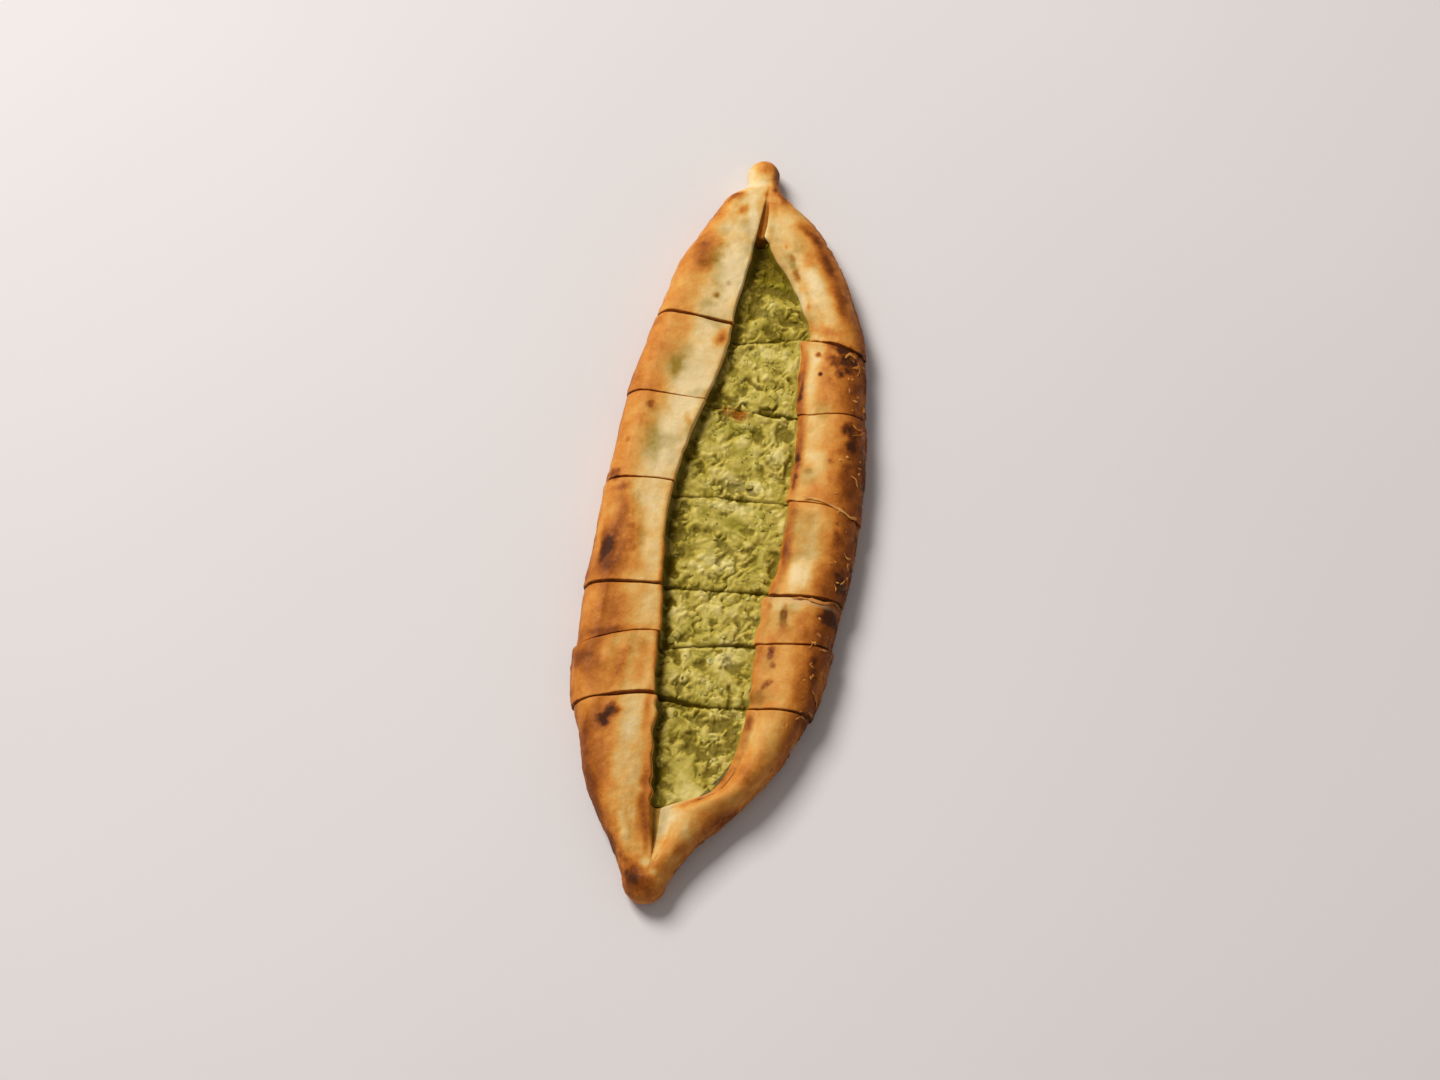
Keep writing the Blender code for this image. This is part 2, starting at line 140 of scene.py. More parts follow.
# %% Cuts and slices
CRUST_CUTS = (
    ((-60, 93.4), (-36, 93), (-2, 90.8), (30, 89.4), (58, 86), (80, 83)),
    ((-60, 50.4), (-43, 51), (-12, 51.2), (34, 51.4), (66, 54.8), (80, 56)),
    ((-60, 5), (-46, 6.6), (-18, 9.2), (33, 8.6), (50, 7.8), (69, 3.4), (80, 0.6)),
    ((-60, -46.5), (-48, -44.6), (-14, -40.4), (36, -37.6), (67, -36.4), (80, -36)),
    ((-60, -77), (-48, -73.4), (-15, -62.8), (32, -61.2), (66, -57.6), (80, -56)),
    ((-60, -105), (-46, -100.6), (-30, -95.8), (-12, -91.6), (38, -91.4), (60, -90), (80, -88)),
)
FILLING_CUTS = (
    ((-30, 89), (-8, 85), (2, 83.8), (12, 86), (30, 90.2), (50, 91.5)),
    ((-40, 51.2), (-9, 50.9), (12, 50.7), (33, 50.6), (50, 51)),
    ((-40, 4), (-9, 5), (4, 7), (20, 7.2), (33, 8), (50, 8.4)),
    ((-40, -40.4), (-15, -39.6), (-2, -38.8), (20, -36.8), (36, -35.8), (50, -35.4)),
    ((-40, -70), (-11, -68), (6, -65.2), (24, -61.8), (50, -60.8)),
    ((-40, -90), (-7, -90.9), (10, -92.4), (28, -90.8), (50, -89)),
)
CRUST_GAPS = (
    ((-45, 0.8), (-30, 1.1), (-20, 0.7), (-10, 1.2), (30, 0.5), (45, 1.1), (55, 0.5)),
    ((-45, 0.7), (-30, 0.6), (-15, 0.3), (40, 0.3), (60, 0.6)),
    ((-50, 1.0), (-40, 0.9), (-28, 0.5), (-15, 0.5), (40, 0.2), (65, 0.3)),
    ((-50, 0.4), (-42, 0.8), (-30, 0.9), (-22, 0.5), (-16, 0.9), (35, 1.1), (65, 1.0)),
    ((-48, 0.5), (-15, 0.5), (35, 0.6), (60, 1.0)),
    ((-48, 0.2), (-35, 0.3), (-25, 1.7), (-12, 1.5), (35, 0.6), (60, 0.4)),
)
FILLING_GAPS = (
    ((-5, 0.8), (30, 0.5)),
    ((-10, 0.5), (10, 0.4), (22, 1.3), (35, 1.1)),
    ((-10, 0.7), (35, 0.5)),
    ((-15, 1.1), (5, 0.7), (35, 1.1)),
    ((-12, 0.6), (6, 0.9), (28, 1.4)),
    ((-8, 2.0), (6, 1.2), (30, 0.7)),
)
SLICES = (
    {"left_side": 0.0, "right_side": 0.4, "left_lip": 0.0, "right_lip": 2.2, "lift": 0.2},
    {"left_side": 0.2, "right_side": -0.2, "left_lip": 0.3, "right_lip": -1.6, "lift": -0.3},
    {"left_side": -0.3, "right_side": 0.5, "left_lip": -0.2, "right_lip": -0.6, "lift": 0.3},
    {"left_side": 0.3, "right_side": -0.2, "left_lip": 0.2, "right_lip": 0.8, "lift": 0.5},
    {"left_side": -0.6, "right_side": -0.6, "left_lip": -0.6, "right_lip": -1.6, "lift": -0.5},
    {"left_side": 0.9, "right_side": 0.7, "left_lip": 0.7, "right_lip": -0.2, "lift": 0.4},
    {"left_side": -0.4, "right_side": -0.5, "left_lip": -0.8, "right_lip": -0.4, "lift": 0.0},
)
SIDES = {-1: "left", 1: "right"}
print(len(CRUST_CUTS), "cuts part the bread into", len(SLICES), "slices")


# %% Where a slice begins and ends
def cut_ends(cuts, gaps, slice_index, x):
    """y of a slice's far and near end at x: each is its cut's line, less half that cut's gap there."""
    far, near = 0 * x + HALF_LENGTH, 0 * x - HALF_LENGTH
    if slice_index > 0:
        far = along(cuts[slice_index - 1], x) - along(gaps[slice_index - 1], x) / 2
    if slice_index < len(cuts):
        near = along(cuts[slice_index], x) + along(gaps[slice_index], x) / 2
    return far, near


def place_along(cuts, gaps, slice_index, share, x):
    """y at x, a share of the way from a slice's far end to its near end."""
    far, near = cut_ends(cuts, gaps, slice_index, x)
    return far + (near - far) * share


far_end, near_end = cut_ends(CRUST_CUTS, CRUST_GAPS, 3, 0.0)
print(f"slice 4 of the dough is {far_end - near_end:.1f} mm long at x = 0")

# %% [markdown]
# The section. Seen from its cut end, a slice is a trough: a flat base with round feet, sides that swell out
# and lean back in, and a flap from each side that ends in a lip. The left flap is a flat sheet with a
# square lip. The right one was rolled, so its lip slopes down to the filling. A section could be drawn
# point by point at many places, but it is easier to change when it is described by its sizes. Two functions
# then turn the sizes into points of its outer and its inner face.

# %% The section's sizes
# A side is widest at a share of the crest's height, and its crest lies inset from there.
FOOT_ROUND = 6.5
WIDEST_AT = 0.42
CREST_INSET = {-1: 10.0, 1: 15.0}
# The lip lies lower than the crest, by an amount that changes along the bread.
LIP_DROP = {
    -1: ((-174, 0.0), (-167, 0.05), (-150, 0.8), (0, 1.2), (136, 1.0), (158, 0.4), (164, 0.0), (174, 0.0)),
    1: ((-174, 0.0), (-168, 0.1), (-163, 1.2), (-154, 4.4), (-141, 4.6), (-120, 3.2), (90, 3.0), (136, 1.6),
        (158, 0.4), (164, 0.0), (174, 0.0)),
}
LIP_ROUND = {-1: 1.2, 1: 4.6}
LIP_DEPTH = {-1: 2.4, 1: 3.2}
# The trough has a floor of dough, walls at its sides, and a roof under each flap. The filling keeps a gap.
FLOOR_HEIGHT = 5.0
SIDE_WALL = 19.5
FILLING_LEVEL = 13.6
ROOF_HEIGHT = 14.6
FILLING_GAP = 0.55
# Between these places at each end the lips come together over the trough, and further out they are a crease.
# The filling runs on a little past the first of them.
TROUGH_ENDS = {1: (135.6, 138.8), -1: (-138.4, -141.2)}
FILLING_PAST = {1: 0.8, -1: 2.0}
CREASE_DEPTH = ((-174, 0.0), (-165, 0.0), (-160, 1.0), (-150, 2.6), (0, 3.2), (146, 2.8), (154, 1.6),
                (160, 0.3), (164, 0.0), (174, 0.0))
KNOB_FROM = (158.0, 172.0)
print("the filling lies", ROOF_HEIGHT - FLOOR_HEIGHT, "mm deep under the flaps")

# %% [markdown]
# Lips that wander. Dough is torn and tugged as it is folded, so a lip is never a clean curve. Small random
# steps every few millimetres, cubed so that most are slight and a few are bold, are added to each lip's
# line.

# %% Waves along the lips
WAVE_PLACES = np.arange(-190.0, 191.0, 3.9)
WAVE_SEED = 80
WAVES = {}
for side in SIDES:
    steps = np.random.default_rng(WAVE_SEED + side).uniform(-1, 1, len(WAVE_PLACES)) ** 3
    WAVES[side] = np.stack([WAVE_PLACES, steps], 1)
WAVE_SIZES = {-1: ((-182, 0.6), (-96, 0.9), (-88, 0.35), (182, 0.3)),
              1: ((-182, 0.4), (-60, 0.7), (182, 0.5))}
print(len(WAVE_PLACES), "steps along each lip")


# %% A section's sizes at one place
def openness(y):
    """1 where the lips leave the filling bare, and 0 where they meet in a crease."""
    return ease(TROUGH_ENDS[1][1], TROUGH_ENDS[1][0], y) * ease(TROUGH_ENDS[-1][1], TROUGH_ENDS[-1][0], y)


def measures(slice_index, y, side):
    """The section's sizes at y on one side (-1 left, 1 right): distances from the trough's middle, and
    heights. On a knob the crest moves in over the lips, so that the knob is round."""
    moved = SLICES[slice_index]
    opened = openness(y)
    waves = {way: opened * along(WAVE_SIZES[way], y) * along(WAVES[way], y) for way in WAVES}
    left_lip = along(LEFT_LIP, y) - moved["left_lip"] * opened + waves[-1]
    right_lip = along(RIGHT_LIP, y) + moved["right_lip"] * opened + waves[1]
    middle = (left_lip + right_lip) / 2
    lip = (right_lip - left_lip) / 2
    outline = abs(along(LEFT_SIDE if side < 0 else RIGHT_SIDE, y) - middle)
    out = outline + moved[SIDES[side] + "_side"]
    crest = along(CREST_HEIGHT, y) + moved["lift"]
    lip_top = crest - along(LIP_DROP[side], y)
    crease = crest - along(LIP_DROP[1], y) - along(CREASE_DEPTH, y)
    knob = ease(*KNOB_FROM, abs(y))
    full_depth = np.clip(lip_top - ROOF_HEIGHT - 0.4, 0.3, LIP_DEPTH[side])
    return SimpleNamespace(
        opened=opened,
        middle=middle,
        out=out,
        lip=lip,
        end=outline - SIDE_WALL,
        crest=crest,
        lip_top=lip_top,
        lip_depth=full_depth * (0.3 + 0.7 * opened - 0.28 * knob),
        low=FLOOR_HEIGHT * opened + crease * (1 - opened),
        foot=np.minimum(FOOT_ROUND, 0.4 * out),
        inset=np.minimum(CREST_INSET[side], (0.5 + 0.38 * knob) * (out - lip)),
        lip_round=np.minimum(LIP_ROUND[side], (0.2 - 0.13 * knob) * (out - lip)),
    )


middle_of_bread = measures(3, np.array([-20.0]), 1)
print(f"at y = -20 the right flap's crest is {middle_of_bread.crest[0]:.1f} mm high")


# %% Points of a section
TURNS = 5


def outer_point(m, run, u):
    """Reach from the middle, and height, of points on the dough's outer face, at u from 0 to 1 along a run.
    The base is level. The foot and the side are quarter ellipses, reach ~ cos and height ~ sin. The flap
    falls to its lip as u^2, and the lip is one more quarter ellipse."""
    turn = u * np.pi / 2
    widest = WIDEST_AT * m.crest
    if run == "base":
        return u * (m.out - m.foot), 0 * m.out * u
    if run == "foot":
        return m.out - m.foot * (1 - np.sin(turn)), widest * (1 - np.cos(turn))
    if run == "side":
        return m.out - m.inset * (1 - np.cos(turn)), widest + (m.crest - widest) * np.sin(turn)
    if run == "flap":
        start, end = m.out - m.inset, m.lip + m.lip_round
        return start + u * (end - start), m.crest + (m.lip_top - m.crest) * u**2
    return m.lip + m.lip_round * (1 - np.sin(turn)), m.lip_top - m.lip_depth * (1 - np.cos(turn))


def inner_points(m):
    """Reach and height of the corners of the dough's inner face, from the middle of the trough's floor, out
    under the flap, and back to the foot of its lip. In a crease they lie close together down its wall."""
    lip_foot = m.lip_top - m.lip_depth
    under = np.maximum(m.end - m.lip, 1.0)
    roof = ROOF_HEIGHT + 0 * under
    corners = (
        (0 * under, m.low),
        (0.5 * m.lip, m.low),
        (m.lip + 0.15 * under, m.low),
        (m.lip + 0.55 * under, m.low),
        (m.lip + 0.85 * under, m.low + 0.5),
        (m.lip + 0.96 * under, m.low + 2.2),
        (m.lip + under, m.low + 4.6),
        (m.lip + 0.96 * under, roof - 2.4),
        (m.lip + 0.85 * under, roof - 1.2),
        (m.lip + 0.6 * under, roof - 0.5),
        (m.lip + 0.3 * under, roof - 0.1),
        (m.lip + np.minimum(0.9, 0.15 * under), roof),
        (m.lip + 0.1, 0.7 * roof + 0.3 * lip_foot),
        (m.lip, lip_foot),
    )
    mixed = []
    for wall, (reach, height) in zip(np.linspace(0, 1, len(corners)), corners):
        crease_height = m.low + (lip_foot - m.low) * wall**1.5
        mixed.append((m.lip * wall + (reach - m.lip * wall) * m.opened,
                      crease_height + (height - crease_height) * m.opened))
    return mixed


def stretch(cuts, gaps, slice_index, shares, side, point, count):
    """A (ring, column) patch of points along a slice. A point's y depends on where the cuts cross its x,
    and its x on its y in turn, so each is worked out from the other, a few times over."""
    x = np.zeros((len(shares), count))
    for _ in range(TURNS):
        y = place_along(cuts, gaps, slice_index, shares[:, None], x)
        m = measures(slice_index, y, side)
        reach, height = point(m)
        x = m.middle + side * reach
    return np.stack([x, y, height + 0 * x], -1)


print(f"under it the trough reaches {inner_points(middle_of_bread)[6][0][0]:.1f} mm from the middle")

# %% [markdown]
# Unevenness. Nothing in nature repeats, but a script has to give the same bread each time it runs, so all
# chance is seeded. One kind of it is enough: a cloud, which is random numbers on a lattice, blended softly,
# with finer lattices added for detail. A cloud as it is makes swells, blisters and uneven browning. Folded
# at zero, as |cloud|, it has sharp creases between round lumps, and so it also makes flakes of crust and
# curds of cheese.

# %% Clouds
LATTICE = 32


def cloud(points, size, seed, octaves=2):
    """Soft noise of about -1 to 1 in space. For each octave: random values at the corners of cubes with
    edge size / 2^octave, blended across a cube by 3t^2 - 2t^3 on each axis, and weighted 1 / 2^octave.
    Each seed gives a pattern of its own."""
    rng = np.random.default_rng(seed)
    total, weights = 0, 0
    for octave in range(octaves):
        values = rng.uniform(-1, 1, (LATTICE, LATTICE, LATTICE))
        place = points / size * 2**octave + rng.uniform(0, LATTICE, 3)
        corner = np.floor(place).astype(int)
        t = place - corner
        t = t * t * (3 - 2 * t)
        i, j, k = (corner[..., axis] % LATTICE for axis in range(3))
        r, s, u = t[..., 0], t[..., 1], t[..., 2]
        blend = 0
        for di, wi in ((0, 1 - r), (1, r)):
            for dj, wj in ((0, 1 - s), (1, s)):
                for dk, wk in ((0, 1 - u), (1, u)):
                    value = values[(i + di) % LATTICE, (j + dj) % LATTICE, (k + dk) % LATTICE]
                    blend = blend + value * wi * wj * wk
        total = total + blend / 2**octave
        weights += 1 / 2**octave
    return 1.6 * total / weights


sample = cloud(np.random.default_rng(1).uniform(0, 90, (500, 3)), 9, 2)
print(f"a cloud runs from {sample.min():.2f} to {sample.max():.2f}")

# %% [markdown]
# The faces of the dough. A slice's outer face is laid out in runs: base, foot, side, flap and lip, with
# more points where the eye goes. Rings follow each other along the slice, closer together beside a cut,
# because the dough's edge is round there. At a knob the rings shrink towards a point as a ball's do. The
# inner face, which hardly shows, is read evenly between a few corners.

# %% Rings along a slice
KNOBS = {-1: {"start": 173.0, "x": -1.6, "z": 7.0}, 1: {"start": 174.0, "x": 1.0, "z": 6.6}}
KNOB_RINGS = 16
EDGE_RINGS = np.array((0.0, 0.14, 0.32, 0.6))


def ring_shares(slice_index):
    """Shares along a slice for its rings: every FINE mm, closer beside a cut, and round a knob at the sines
    of even turns, so that they are as far apart there as anywhere."""
    far, near = (float(v) for v in cut_ends(CRUST_CUTS, CRUST_GAPS, slice_index, np.array(0.0)))
    places = np.arange(near + 1.1, far - 1.0, FINE)
    if slice_index < len(CRUST_CUTS):
        places = np.concatenate([near + EDGE_RINGS, places])
    else:
        places = knob_rings(places, -1)
    if slice_index > 0:
        places = np.concatenate([places, far - EDGE_RINGS[::-1]])
    else:
        places = knob_rings(places, 1)
    return (far - np.sort(places)[::-1]) / (far - near)


def knob_rings(places, way):
    """The places short of a knob's start, and places round the knob."""
    start = KNOBS[way]["start"]
    turns = np.radians(np.linspace(2, 88, round(KNOB_RINGS * FULL_FINENESS / FINE) + 6))
    knob = way * (start + (HALF_LENGTH - start) * np.sin(turns))
    return np.concatenate([places[way * places < start], knob])


print("slice 1 has", len(ring_shares(0)), "rings")


# %% Sheets of dough
RUN_LENGTHS = {"base": 14, "foot": 9, "side": 20, "flap": 20, "lip": 5}


def close_ends(sheet):
    """Rounds the knobs: past a knob's start each point draws in to the knob's middle by sqrt(1 - t^2)."""
    y = sheet[..., 1]
    for way, knob in KNOBS.items():
        past = np.clip((way * y - knob["start"]) / (HALF_LENGTH - knob["start"]), 0, 1)
        size = np.sqrt(1 - past**2)
        sheet[..., 0] = knob["x"] + (sheet[..., 0] - knob["x"]) * size
        sheet[..., 2] = knob["z"] + (sheet[..., 2] - knob["z"]) * size
    return sheet


def outer_sheet(slice_index, shares):
    """The dough's outer face: columns from the left lip, down and under the bread, up to the right lip."""
    halves = {}
    for side in SIDES:
        runs = []
        for run, length in RUN_LENGTHS.items():
            count = round(length / FINE)
            u = np.arange(count) / count
            runs.append(stretch(CRUST_CUTS, CRUST_GAPS, slice_index, shares, side,
                                lambda m, run=run, u=u: outer_point(m, run, u), count))
        halves[side] = np.concatenate(runs, 1)
    return close_ends(np.concatenate([halves[-1][:, :0:-1], halves[1]], 1))


def inner_sheet(slice_index, shares, columns):
    """The dough's inner face, with as many columns as the outer one, read evenly between its corners."""
    half = (columns + 1) // 2
    last = len(inner_points(middle_of_bread)) - 1
    halves = {}
    for side in SIDES:
        corners = []
        for number in range(last + 1):
            corners.append(stretch(CRUST_CUTS, CRUST_GAPS, slice_index, shares, side,
                                   lambda m, number=number: inner_points(m)[number], 1))
        corners = np.concatenate(corners, 1)
        place = np.linspace(0, last, half)
        before = np.minimum(place.astype(int), last - 1)
        t = (place - before)[None, :, None]
        halves[side] = corners[:, before] * (1 - t) + corners[:, before + 1] * t
    return close_ends(np.concatenate([halves[-1][:, :0:-1], halves[1]], 1))


def normals_of(sheet):
    """Unit normals of a sheet: the cross product of its steps to the next column and to the next ring."""
    across = np.gradient(sheet, axis=1)
    onward = np.gradient(sheet, axis=0)
    normal = np.cross(across, onward)
    return normal / np.maximum(np.linalg.norm(normal, axis=-1, keepdims=True), 1e-9)


trial = outer_sheet(3, ring_shares(3))
print("slice 4's outer face has", trial.shape[0], "rings of", trial.shape[1], "points")

# %% [markdown]
# Marks. What makes this bread this one and no other are its marks: where a blister charred, where oil and
# herb juice soaked through, where a fold of dough stands up. A picture could hold them, but then they would
# be dots of colour, with nothing to change by hand. So each mark is an ellipse on the plan with a soft,
# uneven edge, listed one by one. Its six numbers are x and y, half its width and length, its turn in
# degrees, and its strength. The kinds are bake (browner, or paler if negative), char, herb (olive, where
# juice came through), crumb (pale torn dough) and raise (a bump, or a dent if negative). Each kind's marks
# run roughly from the far knob to the near one.

# %% The marks on the dough
MARKS = {
    "bake": (
        # On the far knob, (7.2, 172) darkens its right edge and (-6.6, 171.5) lightens its left, partly as
        # painted shade and light.
        (1.8, 176, 4.4, 5.2, 0, 0.22), (7.2, 172, 1.8, 8, 0, 0.34), (-6.6, 171.5, 2.8, 5, 0, -0.30),
        (-2, 166.5, 5, 2.2, 0, -0.16), (9.6, 163.5, 2.6, 6, 40, 0.28), (3.8, 160.5, 1.6, 2, 0, 0.2),
        (-8.6, 158.6, 3.2, 3, 30, 0.42), (-12.2, 156.6, 1.9, 4.2, -35, 0.30),
        (-6, 150.2, 2.3, 3.6, -30, 0.34), (-9.6, 145.2, 2.4, 3, -30, 0.16), (-17, 150, 2.6, 8, -38, 0.14),
        (-20, 126, 7.5, 9, -35, 0.20), (-17.8, 118.6, 3.8, 4.2, -30, 0.16),
        (-17.6, 131, 4.4, 4.4, -35, 0.14), (-0.6, 147, 2.2, 13, 6, -0.2), (-13.5, 147, 3, 8, -35, 0.14),
        (-26, 107, 6, 7, 0, -0.16), (-5, 120, 4, 22, -6, -0.06), (23.2, 145.4, 2.8, 4, 49, 0.28),
        (28.5, 128.5, 3, 7, 28, 0.14), (29.5, 141, 3, 6, 40, 0.30), (35, 131, 3.4, 9, 36, 0.2),
        (46.5, 108, 3, 8, 24, 0.22), (40.5, 118, 4, 17, 24, 0.26), (13, 159, 2.6, 6, 40, 0.26),
        (41, 94, 8, 3, -12, 0.28), (28, 111, 3, 12, 22, 0.16), (16, 154, 4, 7, 42, 0.10),
        (-8, 161, 3, 2.6, 30, 0.12), (5, 161, 3, 3, 0, 0.14), (8.8, 147, 2.6, 8, 25, -0.12),
        (33, 117, 4, 14, 24, -0.08), (-37.5, 76, 5, 14, -14, 0.05), (-6.2, 83, 2.8, 5, -10, 0.46),
        (-41, 57, 3.4, 6, 0, 0.10), (29.6, 83, 1.8, 4.5, 0, 0.22), (37.5, 72, 3.6, 16, 0, -0.10),
        (49, 80, 6, 9, 0, 0.18), (43, 74, 4, 14, 0, 0.14), (47, 87, 7, 2.6, -8, 0.26),
        (44, 82, 3, 5, 20, 0.2), (33.5, 85, 2, 4, 20, -0.2), (38, 66, 4, 8, 0, -0.14),
        (30.6, 66, 1.4, 12, 0, 0.14), (33.4, 70, 2.6, 16, 0, 0.24), (44.7, 77, 5, 6, 0, 0.10),
        (-26, 62, 6, 10, 0, -0.08), (-38, 88, 5, 3, 0, 0.14), (-38, 36, 5, 14, 0, -0.08),
        (-15.4, 40, 1.5, 3.2, 25, 0.24), (-24, 26, 6, 16, 0, -0.06), (45, 34, 5, 15, 0, -0.10),
        (36.6, 33, 2.6, 15, 0, 0.24), (-38.6, 2.6, 5, 1.8, 20, 0.26), (-38.5, -12, 6, 15, -4, 0.12),
        (-28, -12, 5, 15, 0, 0.10), (-36, -35, 6, 4, 0, 0.10), (-40.8, -30, 4.6, 9, 0, 0.20),
        (-43, -8, 4, 9, 0, -0.10), (-42, -26, 4, 10, 0, 0.12), (-34.5, -20, 6, 18, 0, 0.20),
        (-29.5, -24, 4, 12, 0, 0.16), (-26, -34, 4, 4, 0, 0.12), (-45.8, -20, 1.4, 14, 0, -0.14),
        # (44.6, -27.5) is partly a painted highlight on the right crest.
        (-23, -6, 5, 8, 0, -0.08), (-20.5, -28, 3.4, 7, 0, -0.08), (44.6, -27.5, 5.6, 8, 8, -0.30),
        (48, -8, 5, 12, 0, -0.08), (38.8, -20, 2.6, 15, 2, 0.26), (32.6, -25, 1.5, 9, 0, -0.36),
        (-41, -12, 2.6, 8, 0, -0.14), (-44, -52, 4, 10, 0, -0.10), (-30, -65, 2.4, 15, -75, 0.22),
        (50, -24, 3, 14, 4, -0.10), (51.6, -50, 4, 9, 0, -0.12), (50, -49, 3, 8, 0, 0.12),
        (-44.6, -54, 5, 13, 0, -0.10), (-27, -58, 8, 8, 0, 0.05), (-30, -54, 8, 6, 0, 0.05),
        (-19, -50, 4, 6, 0, -0.06), (46, -42, 11, 3, 0, -0.20), (36, -52, 5, 10, 0, -0.04),
        (-24, -84, 6, 9, 0, 0.16), (-20, -72, 5, 6, 0, 0.10), (48, -92, 10, 7, 0, -0.10),
        (-44, -80, 4.4, 5.6, 0, 0.27), (-34, -77, 2.4, 6, 0, -0.16), (-30.6, -71, 3, 3, 0, -0.10),
        (-27, -79, 3, 10, -5, 0.24), (-18, -75, 3, 12, -4, 0.16), (44, -68, 7, 9, 0, -0.06),
        (33, -65, 1.6, 4, 0, 0.14), (-38, -97, 7, 5, 0, -0.12), (-36, -116, 3, 7, 8, 0.16),
        (-17, -158, 3, 8, 20, 0.12), (38, -112, 5, 18, -10, 0.10), (30, -130, 4, 12, -45, 0.08),
        (-28, -105, 6.5, 7, 0, 0.14), (-18, -110, 4.2, 8, 8, -0.04), (-12.4, -100, 1.8, 10, 2, 0.2),
        (-21, -126, 3, 7, 12, -0.12), (-29.6, -138, 2.6, 14, 24, 0.16), (-16.6, -164, 2.4, 9, 22, 0.2),
        (-8.2, -134, 2.6, 10, 6, 0.14), (-4.6, -150, 2.2, 9, 10, 0.18), (-12.8, -156, 2.4, 4.5, 15, -0.24),
        (-15.5, -149, 1.8, 3, 15, -0.18), (-3.2, -159, 1.6, 4, 12, 0.2), (33.4, -98.4, 1.6, 4, 0, 0.26),
        # (-22, -118) is partly a painted highlight along the left ridge.
        (4, -146.5, 5.4, 8, -20, -0.24), (0.4, -154, 3.4, 8, -8, -0.14), (-22, -118, 8, 24, 10, -0.11),
        (-37, -122, 3, 16, 16, 0.10), (-34, -140, 3, 14, 24, -0.08), (-2, -171, 5, 4, 0, -0.10),
        (10, -151, 3, 6, -35, -0.12), (12.2, -158.6, 2.8, 3.4, -40, 0.24), (26, -146, 3, 14, -48, 0.10),
        (54.5, -94, 2, 5, -20, 0.14), (1.8, -163.5, 2.2, 4, -28, -0.24), (31.6, -102, 3, 12, -6, 0.18),
        (26, -123, 3, 9, -30, 0.24), (14, -137, 3, 9, -62, 0.12), (42, -98, 6, 6, 0, -0.08),
        (-7, -174.5, 6.6, 8, 0, 0.42), (-8, -171, 3.8, 7, 10, 0.12), (0, -175, 8, 8, 0, 0.14),
        # (-2.4, -167) and (1.6, -170.6) are painted highlights on the near knob.
        (4.6, -174, 3.4, 7, 0, -0.14), (-2.4, -167, 2.4, 2.2, 0, -0.34), (1.6, -170.6, 2, 1.8, 0, -0.3),
    ),
    "raise": (
        (-10, 158, 4, 3.5, 35, 0.8), (1.6, 175.5, 5, 5, 0, 0.9), (0.5, 166.4, 8, 1.8, 8, -0.7),
        (-6.5, 171.5, 2, 4, 0, -0.3), (-34, -14, 4, 22, 4, 0.7), (-26, -12, 3, 20, 3, -0.5),
        (-38.8, -53, 1.4, 12, 0, 0.6), (41.2, -47.8, 1.2, 4.8, 3, -0.5), (-25, -77, 2.4, 13, -4, 0.6),
        (-33, -77, 2.6, 13, -4, 0.5), (-20, -122, 6, 30, 12, 1.1), (-7.2, -141, 2.8, 16, 8, -0.4),
        (-13, -155, 2, 7, 15, 0.6), (3, -162, 1.6, 6, -28, 0.7), (10, -138.6, 1.5, 5, -66, 0.8),
        (19, -134, 1.5, 4.4, -58, 0.7), (26.6, -126.4, 1.5, 5, -34, 0.7), (30.6, -115, 1.5, 6, -10, 0.5),
        (-2.2, -169, 1.2, 4, 20, -0.5), (0, -173, 3, 3, 0, 0.5),
    ),
    "herb": (
        (-16.5, 123, 4.6, 8, -30, 0.85), (-11.6, 103.5, 2.1, 2.1, 0, 1.0), (-15, 98.6, 4.6, 2.8, 0, 0.65),
        (-6.8, 110.8, 1.3, 1.3, 0, 0.7), (-2, 118, 2.4, 14, -5, 0.25), (22, 124, 2, 8, 22, 0.6),
        (10, 142, 3, 10, 20, 0.3), (-24.6, 66, 3.4, 5.6, -15, 0.55), (-22, 73, 3, 5, -15, 0.3),
        (-26, 68, 7, 10, 0, 0.5), (-16, 66, 4, 10, 0, 0.25), (-25, 62, 3, 5, 0, 0.3),
        (-32, 43, 3, 3, 0, 0.5), (-30, 32, 3.4, 4, 0, 0.55), (-30, 26, 5, 14, 0, 0.35),
        (-29.3, 23, 4.8, 5.2, 20, 0.45), (42.2, 23.7, 2.6, 1.8, 0, 0.5), (-27, -21, 2.6, 6, 0, 0.40),
        (42, -50, 5, 8, 0, 0.2), (41.2, -48, 2.2, 5.6, 3, 0.9), (37, -50, 6, 8, 0, 0.25),
        (34, -86, 7, 5, 0, 0.9), (38, -68, 3, 6, 0, 0.6), (38, -80, 2.6, 3.4, -30, 0.6),
        (0, -154, 3, 7, 0, 0.3), (1.8, -146, 2.6, 8, -10, 0.45), (31.6, -103, 2.6, 11, -6, 0.5),
    ),
    "char": (
        (-11.6, 103.5, 1.4, 1.4, 0, 0.50), (20.6, 128.2, 1.2, 2.6, 22, 0.36),
        (23.8, 120.3, 1.4, 3.4, 22, 0.38), (16.9, 134.1, 0.9, 1.4, 30, 0.26),
        (31.2, 105.8, 0.9, 1.5, 0, 0.30), (26, 114, 0.9, 2.4, 20, 0.22), (-5.6, 81, 1.3, 2.2, 0, 0.14),
        (38.8, 82, 1.5, 1.5, 0, 0.75), (41.2, 71.8, 1.3, 1.4, 0, 0.72), (33.8, 64, 0.8, 5.5, 0, 0.50),
        (52.4, 81, 6, 7.6, 8, 0.50), (49.4, 73.6, 2.4, 4, 0, 0.22), (-32.6, 44, 2.0, 2.1, 0, 0.46),
        (-40.5, 26, 1.5, 1.6, 0, 0.16), (-44.5, 9, 3.2, 4.4, 10, 0.34), (57.2, 46.4, 3.2, 4, 0, 0.34),
